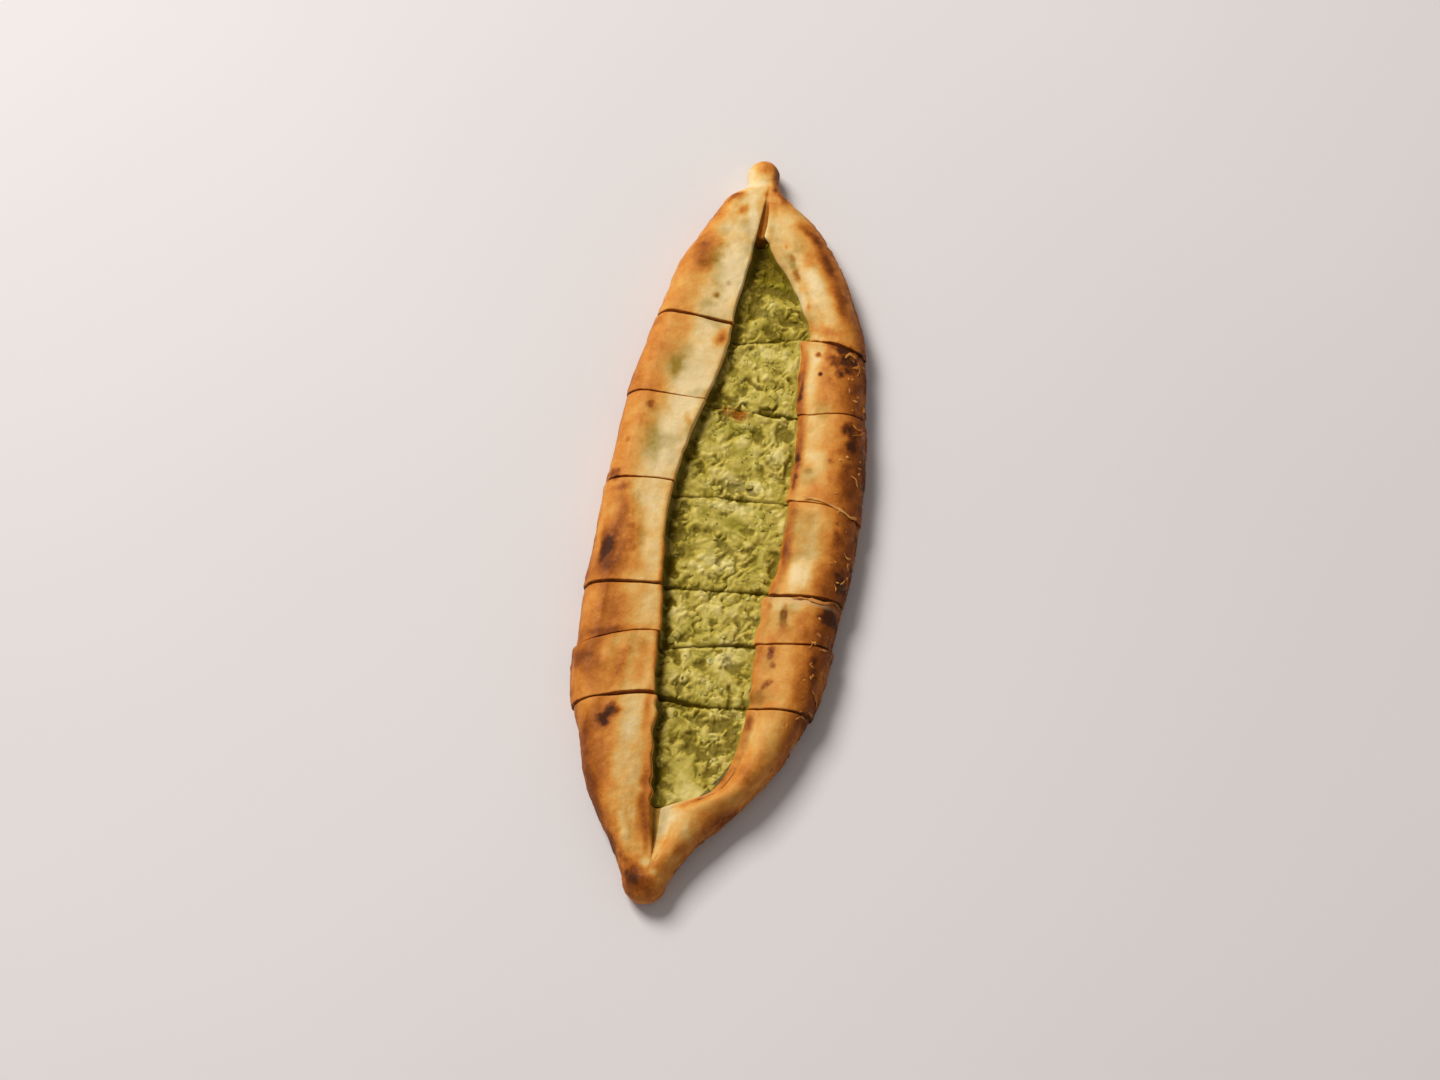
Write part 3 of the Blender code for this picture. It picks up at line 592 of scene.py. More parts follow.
        (60, 40, 3, 4.2, 0, 0.34), (59, 27, 3, 3, 0, 0.14), (51.9, 28.8, 1.6, 1.6, 0, 0.25),
        (36.9, 30.6, 1.1, 2.4, 0, 0.45), (37, 19, 0.8, 7, 0, 0.34), (-42, -27.6, 3, 5.6, 0, 0.26),
        (63.6, -27, 2.8, 5, 0, 0.36), (59, -9, 2.6, 7, 0, 0.20), (37.2, -14, 0.8, 9, 2, 0.12),
        (41.2, -47.8, 1.8, 5.2, 3, 0.48), (34.4, -43, 1.2, 1.8, 0, 0.34), (60.6, -44, 4, 4.6, -20, 0.44),
        (37.7, -65, 1.8, 3.2, 0, 0.42), (39.7, -70.8, 1.8, 1.6, 0, 0.40), (38, -80, 1.8, 3, -30, 0.40),
        (57.5, -70, 2.2, 9, 0, 0.18), (-30.2, -107.6, 3.6, 3.6, -35, 0.48),
        (-26.8, -102.6, 3.4, 3.8, -50, 0.46), (-11.5, -166, 1.5, 6, 25, 0.20),
    ),
    "crumb": (
        # The two marks along the right lip's bead, (9, -138.2) and (19, -133.6), are partly a painted
        # highlight.
        (47, -39.2, 14, 1.5, -2, 0.7), (9, -138.2, 1.2, 4.5, -66, 0.3), (19, -133.6, 1.0, 3.4, -58, 0.3),
    ),
}


def marks_at(marks, x, y, edge, core, ragged):
    """How strong a kind's marks are at places: the sum of strength * ease(edge, core, r + ragged), with r
    the distance from a mark's middle, measured in its own half widths."""
    total = np.zeros(x.shape)
    for at_x, at_y, half_width, half_length, turn, strength in marks:
        reach = 2 * (half_width + half_length)
        near = (abs(x - at_x) < reach) & (abs(y - at_y) < reach)
        if near.any():
            dx, dy = x[near] - at_x, y[near] - at_y
            c, s = np.cos(np.radians(turn)), np.sin(np.radians(turn))
            r = np.hypot((c * dx + s * dy) / half_width, (c * dy - s * dx) / half_length)
            total[near] += strength * ease(edge, core, r + ragged[near])
    return total


def mark_field(kind, points):
    """The dough's marks of one kind, made uneven by a cloud. Char has ragged, firm edges, and the other
    kinds fade out slowly."""
    edge, core, uneven = (1.3, 0.3, 0.34) if kind == "char" else (1.5, 0.1, 0.20)
    ragged = uneven * cloud(points, 2.6, 41, 3)
    return marks_at(MARKS[kind], points[..., 0], points[..., 1], edge, core, ragged)


print("marks on the dough:", {kind: len(marks) for kind, marks in MARKS.items()})

# %% [markdown]
# Relief. The baked surface has swells as large as a finger, blisters, and a fine skin. The outer side on
# the right was nearest the heat and split into flakes. Beside a cut the edge is rounded. Bump in the
# material could only shade all this, and its outline would stay smooth, so it is real: one number at each
# point says how far the skin stands out along its normal. That takes two distances first, to the cuts and
# to the lips.

# %% Distances on the dough
FAR_OFF = 99.0


def beside_cuts(slice_index, sheet):
    """Distance along the bread from each point to its slice's far and near cuts. A tip end is far off."""
    far, near = cut_ends(CRUST_CUTS, CRUST_GAPS, slice_index, sheet[..., 0])
    to_far = far - sheet[..., 1] if slice_index > 0 else np.full(sheet.shape[:2], FAR_OFF)
    to_near = sheet[..., 1] - near if slice_index < len(CRUST_CUTS) else np.full(sheet.shape[:2], FAR_OFF)
    return to_far, to_near


def from_lips(sheet):
    """Distance over the skin from each point of the outer face to the lip of its own side."""
    steps = np.linalg.norm(np.diff(sheet, axis=1), axis=-1)
    start = np.zeros((len(sheet), 1))
    from_left = np.concatenate([start, np.cumsum(steps, 1)], 1)
    from_right = np.concatenate([np.cumsum(steps[:, ::-1], 1)[:, ::-1], start], 1)
    return np.minimum(from_left, from_right)


print(f"slice 4's outer face lies up to {from_lips(trial).max():.1f} mm from a lip")


# %% Relief of the dough
CUT_ROUND = 0.55
TIP_REACH = 9


def before_tip(y):
    """1 along the bread, and falling to 0 at the very tips, so that relief can't make the bread longer."""
    return ease(HALF_LENGTH, HALF_LENGTH - TIP_REACH, abs(y))


def flakes(sheet):
    """The folded cloud 1 - |c|, longer along the bread. It is 1 on the flakes' sharp crests."""
    return 1 - abs(cloud(sheet * np.array([1.0, 0.5, 1.3]), 4.2, 8, 3))


def flakiness(sheet, right, lip_distance):
    """Where the crust is split into flakes: low on the right side, and a little on the left."""
    z = sheet[..., 2]
    low = ease(0.88, 0.56, z / along(CREST_HEIGHT, sheet[..., 1])) * ease(1.5, 6, z)
    return np.where(right, 1.0, 0.35) * low * ease(3, 9, lip_distance)


def swells(points):
    """How far the dough stands out everywhere: clouds of three sizes, and the raise marks."""
    long_grain = points * np.array([1.0, 0.55, 1.0])
    soft = 0.55 * before_tip(points[..., 1]) * cloud(long_grain, 15, 3, 2) + 0.20 * cloud(points, 4.6, 4, 2)
    return soft + 0.05 * cloud(points, 1.5, 5, 2) + 0.8 * mark_field("raise", points)


def relief(slice_index, sheet, right, to_cut, lip_distance):
    """How far the skin stands out: swells, flakes, a bead along the lip, and within r of a cut a drop of
    r - sqrt(r^2 - (r - d)^2). Towards the floor it all fades, so that the base stays flat."""
    y, z = sheet[..., 1], sheet[..., 2]
    out = swells(sheet)
    flaked = 0.9 * ease(0.45, 1.0, flakes(sheet)) - 0.45
    out += flakiness(sheet, right, lip_distance) * flaked * before_tip(y)
    bead = openness(y) * ease(0, 2.5, lip_distance) * ease(6, 2.5, lip_distance)
    out += bead * (0.2 + 0.3 * cloud(sheet, 5.0, 6, 2))
    d = np.clip(to_cut, 0, CUT_ROUND)
    out -= CUT_ROUND - np.sqrt(np.maximum(CUT_ROUND**2 - (CUT_ROUND - d) ** 2, 0))
    return out * ease(0.3, 4, z)


print(f"slice 4's swells differ by {np.ptp(swells(trial)):.1f} mm")

# %% [markdown]
# Browning. Dough browns where it is dry, thin and near the heat, so the outer edges are dark and the lips,
# wet from the cheese, stay pale. On the right flap the bake also holds painted light and shade: its crest is
# partly a painted highlight, and its outer side, turned away from the lamp, partly painted shade. Four
# numbers are kept at each point of the dough: bake, from pale at 0 to dark brown at 1, char, herb and crumb.
# The material turns them into colour. The curves below read bake off the distance from the lip, over each
# flap and down its side. RIGHT_SHARE, and each curve that ends in ALONG, say how much of it there is, or
# what is added, from the near knob to the far one.

# %% Curves of browning
LEFT_BAKE = ((0, 0.10), (4.6, 0.06), (11, 0.04), (16, 0.12), (21, 0.32), (27, 0.46), (35, 0.45), (43, 0.48),
             (50, 0.58))
LEFT_BAND = ((0, 0.20), (2.2, 0.16), (3.8, 0.0), (20, 0.0))
LEFT_BAND_ALONG = ((-182, 0.0), (-155, 0.8), (-140, 1.7), (-98, 1.5), (-88, 1.0), (-60, 1.0), (-25, 0.9),
                   (0, 0.4), (50, 0.4), (90, 0.2), (120, 0.0), (182, 0.0))
STAIN_ALONG = ((-182, 0.0), (-90, 0.0), (-60, 0.3), (0, 0.5), (182, 0.45))
LEFT_BAKE_ALONG = ((-182, 0.34), (-160, 0.26), (-140, 0.22), (-118, 0.14), (-98, 0.08), (-85, 0.15),
                   (-50, 0.15), (-25, 0.12), (10, 0.0), (60, -0.02), (90, -0.02), (110, 0.0), (140, 0.02),
                   (160, 0.08), (182, 0.16))
# Painted light and shade in part: the low values 5 to 14 mm from the lip give the crest a painted highlight,
# and the high outer values are partly painted shade on the side turned from the lamp.
RIGHT_BAKE_LIGHT_AND_SHADE = ((0, 0.48), (3.0, 0.50), (5.0, 0.29), (9, 0.25), (14, 0.29), (19, 0.43), (23, 0.57),
              (27, 0.70), (33, 0.76), (50, 0.74))
RIGHT_RIM = ((0, -0.36), (3.2, -0.34), (5.2, -0.04), (7, 0.0), (20, 0.0))
RIGHT_RIM_ALONG = ((-182, 0.0), (-150, 0.6), (-141, 0.9), (-134, 0.6), (-105, 0.5), (-88, 0.4), (-60, 0.4),
                   (-38, 0.1), (-32, 0.0), (88, 0.0), (91, 0.8), (140, 0.8), (160, 0.0), (182, 0.0))
RIGHT_SHARE = ((-182, 0.6), (-130, 0.65), (-95, 0.85), (-60, 0.95), (-40, 1.0), (80, 1.0), (105, 0.95),
               (150, 0.8), (182, 0.5))
RIGHT_BAKE_ALONG = ((-182, 0.30), (-165, 0.14), (-150, 0.02), (-110, 0.06), (-70, 0.06), (-40, 0.0),
                    (20, 0.0), (60, 0.0), (88, 0.0), (100, -0.06), (140, -0.10), (160, 0.04), (182, 0.12))
SEAM_ENDS = {1: (154, 161), -1: (-154, -161)}
FAR_SEAM = (122, 134)
OFF_LIP_ON_KNOB = 11
print("bake runs from", min(bake for _, bake in LEFT_BAKE), "to", max(bake for _, bake in RIGHT_BAKE_LIGHT_AND_SHADE))


# %% Browning of the dough
def sealed(y):
    """1 where the seam of a tip has closed over, and the knob is one skin, and 0 elsewhere."""
    return ease(*SEAM_ENDS[1], y) + ease(*SEAM_ENDS[-1], y)


def baked(sheet, right, off_lip):
    """Bake of the skin: read across each flap from a curve for its side, plus a curve along the bread,
    clouds and marks. The right side's outer brown, partly painted shade, is weaker near the tips, and
    streaks of it run along the bread; its pale crest is partly a painted highlight. On a sealed knob the two
    sides blend over 10 mm."""
    x, y = sheet[..., 0], sheet[..., 1]
    rightness = right + (ease(-5, 5, x - along(LEFT_LIP, y)) - right) * sealed(y)
    left_side = along(LEFT_BAKE, off_lip) + along(LEFT_BAKE_ALONG, y)
    right_side = 0.25 + (along(RIGHT_BAKE_LIGHT_AND_SHADE, off_lip) - 0.25) * along(RIGHT_SHARE, y)
    right_side = right_side + along(RIGHT_BAKE_ALONG, y)
    uneven = 0.10 * cloud(sheet, 17, 11, 2) + 0.08 * cloud(sheet, 5, 12, 3)
    uneven += 0.05 * cloud(sheet * np.array([1.0, 0.35, 1.0]), 6, 18, 2)
    uneven *= 0.55 + 0.45 * rightness
    return left_side + (right_side - left_side) * rightness + uneven + mark_field("bake", sheet)


def paint_outer(sheet, right, to_cut, lip_distance, stands_out):
    """The four numbers on the outer face. Each lip has its own colour for a few mm, uneven along the bread.
    High spots are a little browner. The underside is evenly brown. Char along each cut is painted shade of
    the knife's gap."""
    x, y, z = sheet[..., 0], sheet[..., 1], sheet[..., 2]
    knob = sealed(y)
    bake = baked(sheet, right, np.maximum(lip_distance, OFF_LIP_ON_KNOB * knob))
    uneven = 1 + 0.7 * cloud(sheet * np.array([1.0, 0.4, 1.0]), 7, 17, 2)
    rim = np.where(right, along(RIGHT_RIM_ALONG, y) * along(RIGHT_RIM, lip_distance),
                   along(LEFT_BAND_ALONG, y) * along(LEFT_BAND, lip_distance / (1 + ease(-85, -100, y))))
    bake += rim * uneven * (1 - knob) + 0.10 * np.clip(stands_out, -1, 1)
    under = ease(3, 0.5, z)
    bake = bake * (1 - under) + (0.66 + 0.16 * cloud(sheet, 12, 13, 3)) * under
    above = ease(4, 9, z)
    char = mark_field("char", sheet) * above
    flaky = flakiness(sheet, right, lip_distance)
    char += 0.3 * flaky * ease(0.25, 0.9, cloud(sheet, 7, 14, 3))
    herb = mark_field("herb", sheet) * above
    stained = ease(0.1, 0.8, cloud(sheet, 9, 19, 2)) * ease(22, 12, lip_distance) * ease(0, 3, lip_distance)
    herb += along(STAIN_ALONG, y) * stained
    crumb = mark_field("crumb", sheet) * above
    crumb += 0.45 * flaky * ease(0.90, 1.0, flakes(sheet)) * ease(-0.2, 0.5, cloud(sheet, 9, 15, 2))
    # Painted shade: a dark line of char along each cut, for the shadow in the knife's gap.
    char += 0.30 * ease(0.5, 0.0, to_cut)
    return np.stack([bake, char, herb, crumb], -1)


def paint_inner(sheet, columns_from_lip):
    """The inner face is pale, and wet with herb juice close to the filling. Where the lips have met it is
    the floor of the seam, browner and wet, partly as painted shade. So is the trough's floor where the far
    seam begins, darker still as painted shade and juice. In the knobs it is as brown as the skin."""
    y = sheet[..., 1]
    opened, knob = openness(y), sealed(y)
    deep = ease(*FAR_SEAM, y)
    # Painted shade: the seam's floor and the far seam are painted darker and olive, for the shade in them.
    bake = 0.10 * opened + 0.28 * (1 - opened) + 0.22 * deep + 0.05 * cloud(sheet, 6, 16, 2)
    bake += (baked(sheet, 0.5, OFF_LIP_ON_KNOB + 0 * y) - bake) * knob
    wet = 0.75 * ease(22, 14, sheet[..., 2]) * ease(0, 4, columns_from_lip) * opened
    wet += 0.8 * (1 - opened) * (1 - knob) + 0.9 * deep * opened
    char = 0.1 * deep * opened + mark_field("char", sheet) * knob
    return np.stack([bake, char, wet, 0.15 * opened * (1 - deep)], -1)


print("the skin is sealed at y = 165 by", float(sealed(165.0)))

# %% [markdown]
# Closing a slice. Outer and inner face are joined at the lips into rings, and the rings into a closed skin.
# A cut face could be one flat polygon, but then it would be as smooth as plastic. So it is made by carrying
# on past the last ring: each point moves straight towards the one across the dough from it. The cut is then
# a fine grid too, and can be rough and pale as torn bread is, though here its paint is mostly painted
# shade, as it is seen only down a narrow gap.

# %% Slabs
CUT_STEPS = np.array((0.06, 0.2, 0.42, 0.68, 0.94))
print("a cut face has", len(CUT_STEPS), "loops inside its rim")


def slab(outer, inner, cut_far, cut_near, cut_paint, roughness):
    """Points and faces of the solid between two sheets of (ring, column) rows, whose first three numbers
    are the place. cut_paint is what the rest of a row becomes on a cut face."""
    rings = np.concatenate([outer, inner[:, ::-1]], 1)
    across = np.concatenate([inner, outer[:, ::-1]], 1)
    ends = []
    for is_cut, ring in ((cut_far, 0), (cut_near, -1)):
        t = CUT_STEPS[:, None, None] / 2 if is_cut else np.zeros((0, 1, 1))
        rows = rings[ring] + (across[ring] - rings[ring]) * t
        rows[..., 3:] += (cut_paint - rows[..., 3:]) * ease(0.0, 0.1, t)
        rough = roughness * cloud(rows[..., :3] * np.array([1, 0, 1]), 1.6, 23, 2) * ease(0, 0.2, t[..., 0])
        rows[..., 1] += rough
        ends.append(rows)
    loops = np.concatenate([ends[0][::-1], rings, ends[1]])
    count, around = loops.shape[:2]
    number = np.arange(count * around).reshape(count, around)
    next_on = np.roll(number, -1, axis=1)
    skin = np.stack([number[:-1], next_on[:-1], next_on[1:], number[1:]], 2).reshape(-1, 4)
    there = np.arange(outer.shape[1] - 1)
    back = around - 1 - there
    end = np.stack([there, there + 1, back - 1, back], 1)
    faces = np.concatenate([skin, end[:, ::-1], end + (count - 1) * around])
    return loops.reshape(-1, loops.shape[-1]), faces


# %% Meshes from arrays
def add_object(name, data):
    """A new object for a mesh, lamp or camera, put in the scene."""
    made = bpy.data.objects.new(name, data)
    bpy.context.scene.collection.objects.link(made)
    return made


def add_piece(name, points, faces, material, slot, node=None, paints=()):
    """A mesh object from arrays: points in mm from the plan's origin, faces all of one corner count, and
    one float attribute for each name in paints, read from the columns after the place."""
    corners = faces.shape[1]
    mesh = bpy.data.meshes.new(name)
    mesh.vertices.add(len(points))
    mesh.vertices.foreach_set("co", ((points[:, :3] - BREAD_CENTRE) * METRE).astype(np.float32).ravel())
    mesh.loops.add(faces.size)
    mesh.loops.foreach_set("vertex_index", faces.astype(np.int32).ravel())
    mesh.polygons.add(len(faces))
    mesh.polygons.foreach_set("loop_start", np.arange(0, faces.size, corners, dtype=np.int32))
    mesh.update(calc_edges=True)
    mesh.shade_smooth()
    for column, paint in enumerate(paints):
        layer = mesh.attributes.new(paint, "FLOAT", "POINT")
        layer.data.foreach_set("value", points[:, 3 + column].astype(np.float32))
    mesh.materials.append(material)
    piece = add_object(name, mesh)
    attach(piece, "root")
    if node:
        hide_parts(node)
    return piece


# %% [markdown]
# Finishes. A material is a graph of nodes, and building one by hand takes a line for each node, value and
# link. The helper below keeps that readable: it adds a node, sets its values, and joins its inputs in one
# line. Every pattern reads Object coordinates, so it stays on the bread when the bread moves.

# %% Node helper
class Graph:
    """A material's nodes. make() adds a node, with settings by attribute name and inputs by socket name,
    where an input is a value or another node's output."""

    def __init__(self, name, roughness):
        self.material = bpy.data.materials.new(name)
        self.material.use_nodes = True
        self.nodes = self.material.node_tree.nodes
        self.shader = self.nodes["Principled BSDF"]
        self.shader.inputs["Roughness"].default_value = roughness

    def join(self, socket, value):
        if isinstance(value, bpy.types.NodeSocket):
            self.material.node_tree.links.new(value, socket)
        else:
            socket.default_value = value

    def make(self, kind, settings=None, **inputs):
        node = self.nodes.new("ShaderNode" + kind)
        for name, value in (settings or {}).items():
            setattr(node, name, value)
        for name, value in inputs.items():
            self.join(node.inputs[name.replace("_", " ")], value)
        return node

    def attribute(self, name):
        return self.make("Attribute", {"attribute_name": name}).outputs["Fac"]

    def math(self, operation, a, b=0.0):
        node = self.make("Math", {"operation": operation})
        self.join(node.inputs[0], a)
        self.join(node.inputs[1], b)
        return node.outputs[0]

    def noise(self, scale, detail=3.0):
        place = self.make("TexCoord").outputs["Object"]
        return self.make("TexNoise", None, Vector=place, Scale=scale, Detail=detail).outputs["Fac"]

    def uneven(self, scale, detail, amount):
        """Noise about zero: (noise - 0.5) * amount."""
        return self.math("MULTIPLY", self.math("SUBTRACT", self.noise(scale, detail), 0.5), amount)

    def scaled_noise(self, scale, detail, factor, added):
        """Noise * factor + added."""
        return self.math("ADD", self.math("MULTIPLY", self.noise(scale, detail), factor), added)

    def bump(self, strength, distance, height):
        """Fine relief in the shading alone, finer than the mesh can hold. Its distance is in metres."""
        node = self.make("Bump", None, Strength=strength, Distance=distance, Height=height)
        self.join(self.shader.inputs["Normal"], node.outputs["Normal"])

    def soft_inside(self, weight, radius, scale):
        """Light that goes in and comes out again nearby, further for red than for blue."""
        self.shader.inputs["Subsurface Weight"].default_value = weight
        self.shader.inputs["Subsurface Radius"].default_value = radius
        self.shader.inputs["Subsurface Scale"].default_value = scale

    def ramp(self, value, stops, smooth=True):
        node = self.make("ValToRGB", None, Fac=value)
        node.color_ramp.interpolation = "EASE" if smooth else "LINEAR"
        elements = node.color_ramp.elements
        while len(elements) < len(stops):
            elements.new(0.5)
        for element, (at, colour) in zip(elements, stops):
            element.position = at
            element.color = (*colour, 1.0)
        return node.outputs["Color"]

    def mix(self, share, a, b, blend="MIX"):
        node = self.make("Mix", {"data_type": "RGBA", "blend_type": blend})
        self.join(node.inputs["Factor"], share)
        self.join(node.inputs[6], a if isinstance(a, bpy.types.NodeSocket) else (*a, 1.0))
        self.join(node.inputs[7], b if isinstance(b, bpy.types.NodeSocket) else (*b, 1.0))
        return node.outputs[2]


print("Graph can", [name for name in vars(Graph) if not name.startswith("_")])

# %% [markdown]
# Baked dough. Bread goes from cream through gold and orange to brown and black, always along the same
# colours, so one ramp read by the bake number does most of the work. Noise of two sizes makes it patchy and
# grainy, and char breaks up into specks. Herb stains multiply the colour, as juice does, and crumb paints
# torn dough over it. The gloss is low, and a little light goes in, or the dough would look like clay.

# %% Baked dough
def make_crust():
    """The dough's material: a ramp over bake + noise + char, then herb, char and crumb over it."""
    g = Graph("baked dough", 0.55)
    bake = g.math("ADD", g.attribute("bake"), g.math("ADD", g.uneven(160, 4, 0.30), g.uneven(700, 3, 0.16)))
    char = g.math("MULTIPLY", g.attribute("char"), g.scaled_noise(330, 5, 3.0, -0.5))
    bake = g.math("ADD", bake, g.math("MULTIPLY", char, 0.8))
    colour = g.ramp(bake, (
        (0.00, (0.87, 0.66, 0.34)), (0.15, (0.80, 0.52, 0.185)), (0.30, (0.74, 0.375, 0.082)),
        (0.45, (0.66, 0.245, 0.036)), (0.60, (0.48, 0.145, 0.016)), (0.76, (0.27, 0.068, 0.007)),
        (0.92, (0.13, 0.031, 0.004)), (1.00, (0.07, 0.018, 0.004))), smooth=False)
    stained = g.math("MULTIPLY", g.attribute("herb"), g.math("ADD", g.noise(260, 4), 0.35))
    colour = g.mix(stained, colour, (0.42, 0.41, 0.13), "MULTIPLY")
    colour = g.mix(g.math("MULTIPLY", char, 0.3), colour, (0.05, 0.015, 0.005))
    colour = g.mix(g.math("MULTIPLY", g.attribute("crumb"), 0.9), colour, (0.76, 0.49, 0.22))
    g.join(g.shader.inputs["Base Color"], colour)
    gloss = g.ramp(bake, ((0.0, (0.62,) * 3), (0.6, (0.52,) * 3), (1.0, (0.60,) * 3)))
    g.join(g.shader.inputs["Roughness"], gloss)
    g.bump(0.5, 0.0004, g.math("ADD", g.noise(900, 4), g.math("MULTIPLY", g.noise(260, 3), 1.4)))
    g.soft_inside(0.10, (1.0, 0.4, 0.15), 0.001)
    g.shader.inputs["Specular IOR Level"].default_value = 0.12
    return g.material


crust_material = make_crust()
print("made", crust_material.name)

# %% [markdown]
# The crusts. Each slice's dough goes through the same steps: smooth faces, relief along their normals,
# paint, and the closed slab. Beside a lip the relief of the sealed seam points straight up instead, because
# there the normals of the two flaps would push them through each other.

# %% The seven crusts
CRUST_PAINTS = ("bake", "char", "herb", "crumb")
# Painted shade: a cut face is pale crumb, but it is seen only down a narrow knife gap, so it is painted
# browner, olive and dark.
SHADED_CUT_DOUGH = np.array((0.50, 0.10, 0.30, 0.20))
CUT_ROUGHNESS = 0.22


def crust_piece(index):
    """One slice's dough: smooth faces, then relief along the normals, then paint, then the closed slab."""
    shares = ring_shares(index)
    smooth = outer_sheet(index, shares)
    columns = smooth.shape[1]
    right = np.broadcast_to(np.arange(columns) > columns // 2, smooth.shape[:2])
    to_cut = np.minimum(*beside_cuts(index, smooth))
    lip_distance = from_lips(smooth)
    stands_out = relief(index, smooth, right, to_cut, lip_distance)
    upward = ((1 - openness(smooth[..., 1])) * ease(3.0, 0.8, lip_distance))[..., None]
    direction = normals_of(smooth) * (1 - upward) + np.array((0, 0, 1)) * upward
    outer = smooth + direction * stands_out[..., None]
    outer[..., 2] = np.maximum(outer[..., 2], 0.0)
    inner = inner_sheet(index, shares, columns)
    inner[..., 2] += (1 - openness(inner[..., 1])) * swells(inner)
    half = columns // 2
    columns_from_lip = (half - abs(np.arange(columns) - half)) * np.ones((len(shares), 1))
    painted_outer = np.concatenate([outer, paint_outer(smooth, right, to_cut, lip_distance, stands_out)], -1)
    painted_inner = np.concatenate([inner, paint_inner(inner, columns_from_lip)], -1)
    is_cut = (index > 0, index < len(CRUST_CUTS))
    points, faces = slab(painted_outer, painted_inner, *is_cut, SHADED_CUT_DOUGH, CUT_ROUGHNESS)
    return add_piece(f"crust_skin_{index + 1}", points, faces, crust_material, "crust", f"crust_{index + 1}",
                     CRUST_PAINTS)


for index in range(len(SLICES)):
    piece = crust_piece(index)
    print(piece.name, len(piece.data.polygons), "faces")

# %% [markdown]
# Torn skin. Where the right side flaked, thin pale strings of skin curl up from it. They overhang, which
# relief can't do, so each is a piece of its own: a flat tube along a few points of the plan, laid on the
# outer face, tapered at both ends, and lifted here and there by a cloud. The larger ones are listed one by
# one, and small scraps are scattered between them.

# %% Curls of torn skin
CURLS = ((((41, 10.0), (48, 9.6), (54.9, 7.8), (60, 6.0), (64.6, 4.4)), 0.9),
         (((60.6, 6.4), (63.8, 4.4), (67.4, 5.4)), 0.9), (((51.2, 81.6), (53.4, 84.2), (56.6, 83.2)), 0.9),
         (((57.4, 82), (58.6, 78), (58, 74.6)), 0.6), (((59, 49.4), (61.8, 47.4), (64.2, 49)), 0.7),
         (((59.4, 43.6), (62.6, 45.2), (65, 48.4)), 0.6), (((61.6, 24.4), (64, 23), (65.6, 19.6)), 0.7),
         (((63.4, -12.6), (65.4, -14.6), (66.8, -13.4)), 0.7),
         (((66, -23.6), (64.2, -27), (61.4, -30)), 0.7),
         (((43, -38.4), (49, -37.9), (57, -38.6), (62.6, -36.4), (66.4, -38)), 0.8),
         (((60.6, -51.6), (62.2, -53.6)), 0.6), (((58.6, -60.2), (62.4, -59.6)), 0.6),
         (((57.8, -78.8), (60.2, -82), (61.6, -85.6)), 0.7),
         (((52.8, -93.6), (55.2, -91.2), (57.2, -91.8)), 0.7))
print(len(CURLS), "curls are placed by eye")


# %% A place on the right side
def on_right_side(x, y):
    """Height, and outward direction, of the right outer face at places of the plan: on the side's quarter
    ellipse, reach ~ cos and height ~ sin, with the flap's crest inside it."""
    index = int((y.mean() < np.array([along(cut, x.mean()) for cut in CRUST_CUTS])).sum())
    m = measures(index, y, 1)
    cosine = np.clip(1 - (m.out - (x - m.middle)) / m.inset, 0, 0.97)
    sine = np.sqrt(1 - cosine**2)
    widest = WIDEST_AT * m.crest
    outward = np.stack([cosine / m.inset, 0 * x, sine / (m.crest - widest)], -1)
    return widest + (m.crest - widest) * sine, outward / np.linalg.norm(outward, axis=1, keepdims=True)


some_height, _ = on_right_side(np.array([60.0]), np.array([-20.0]))
print(f"the side is {some_height[0]:.1f} mm high at x = 60")


# %% One curl, and all of them
CURL_RINGS = 24
CURL_SIDES = 6
CURL_THICKNESS = 0.16
CURL_SEED = 70
SCRAPS = 46
SCRAP_SEED = 90


def curl(path, width, seed):
    """Points and faces of one curl: rings of six points round its path, drawn in at both ends."""
    t = np.linspace(0, 1, CURL_RINGS)
    places = np.linspace(0, 1, len(path))
    x, y = (along(tuple(zip(places, column)), t) for column in zip(*path))
    z, outward = on_right_side(x, y)
    middle = np.stack([x, y, z], -1)
    onward = np.gradient(middle, axis=0)
    onward /= np.linalg.norm(onward, axis=1, keepdims=True)
    sideways = np.cross(outward, onward)
    taper = np.sqrt(np.sin(np.pi * np.clip(t, 0.002, 0.998)))
    lift = 0.22 + 0.25 * cloud(middle, 2.5, seed, 2)
    turn = np.arange(CURL_SIDES) * np.pi / (CURL_SIDES / 2)
    wide = width * (0.75 + 0.5 * cloud(middle, 1.8, seed + 1, 2)) * taper
    rings = middle[:, None] + outward[:, None] * (lift * taper)[:, None, None]
    rings = rings + sideways[:, None] * (wide[:, None] * np.cos(turn))[..., None]
    rings = rings + outward[:, None] * (CURL_THICKNESS * taper[:, None] * np.sin(turn))[..., None]
    number = np.arange(CURL_RINGS * CURL_SIDES).reshape(-1, CURL_SIDES)
    next_on = np.roll(number, -1, axis=1)
    faces = np.stack([number[:-1], number[1:], next_on[1:], next_on[:-1]], -1).reshape(-1, 4)
    ends = np.array([[0, 1, 2, 3], [0, 3, 4, 5]])
    return rings.reshape(-1, 3), np.concatenate([faces, ends, ends[:, ::-1] + number[-1, 0]])


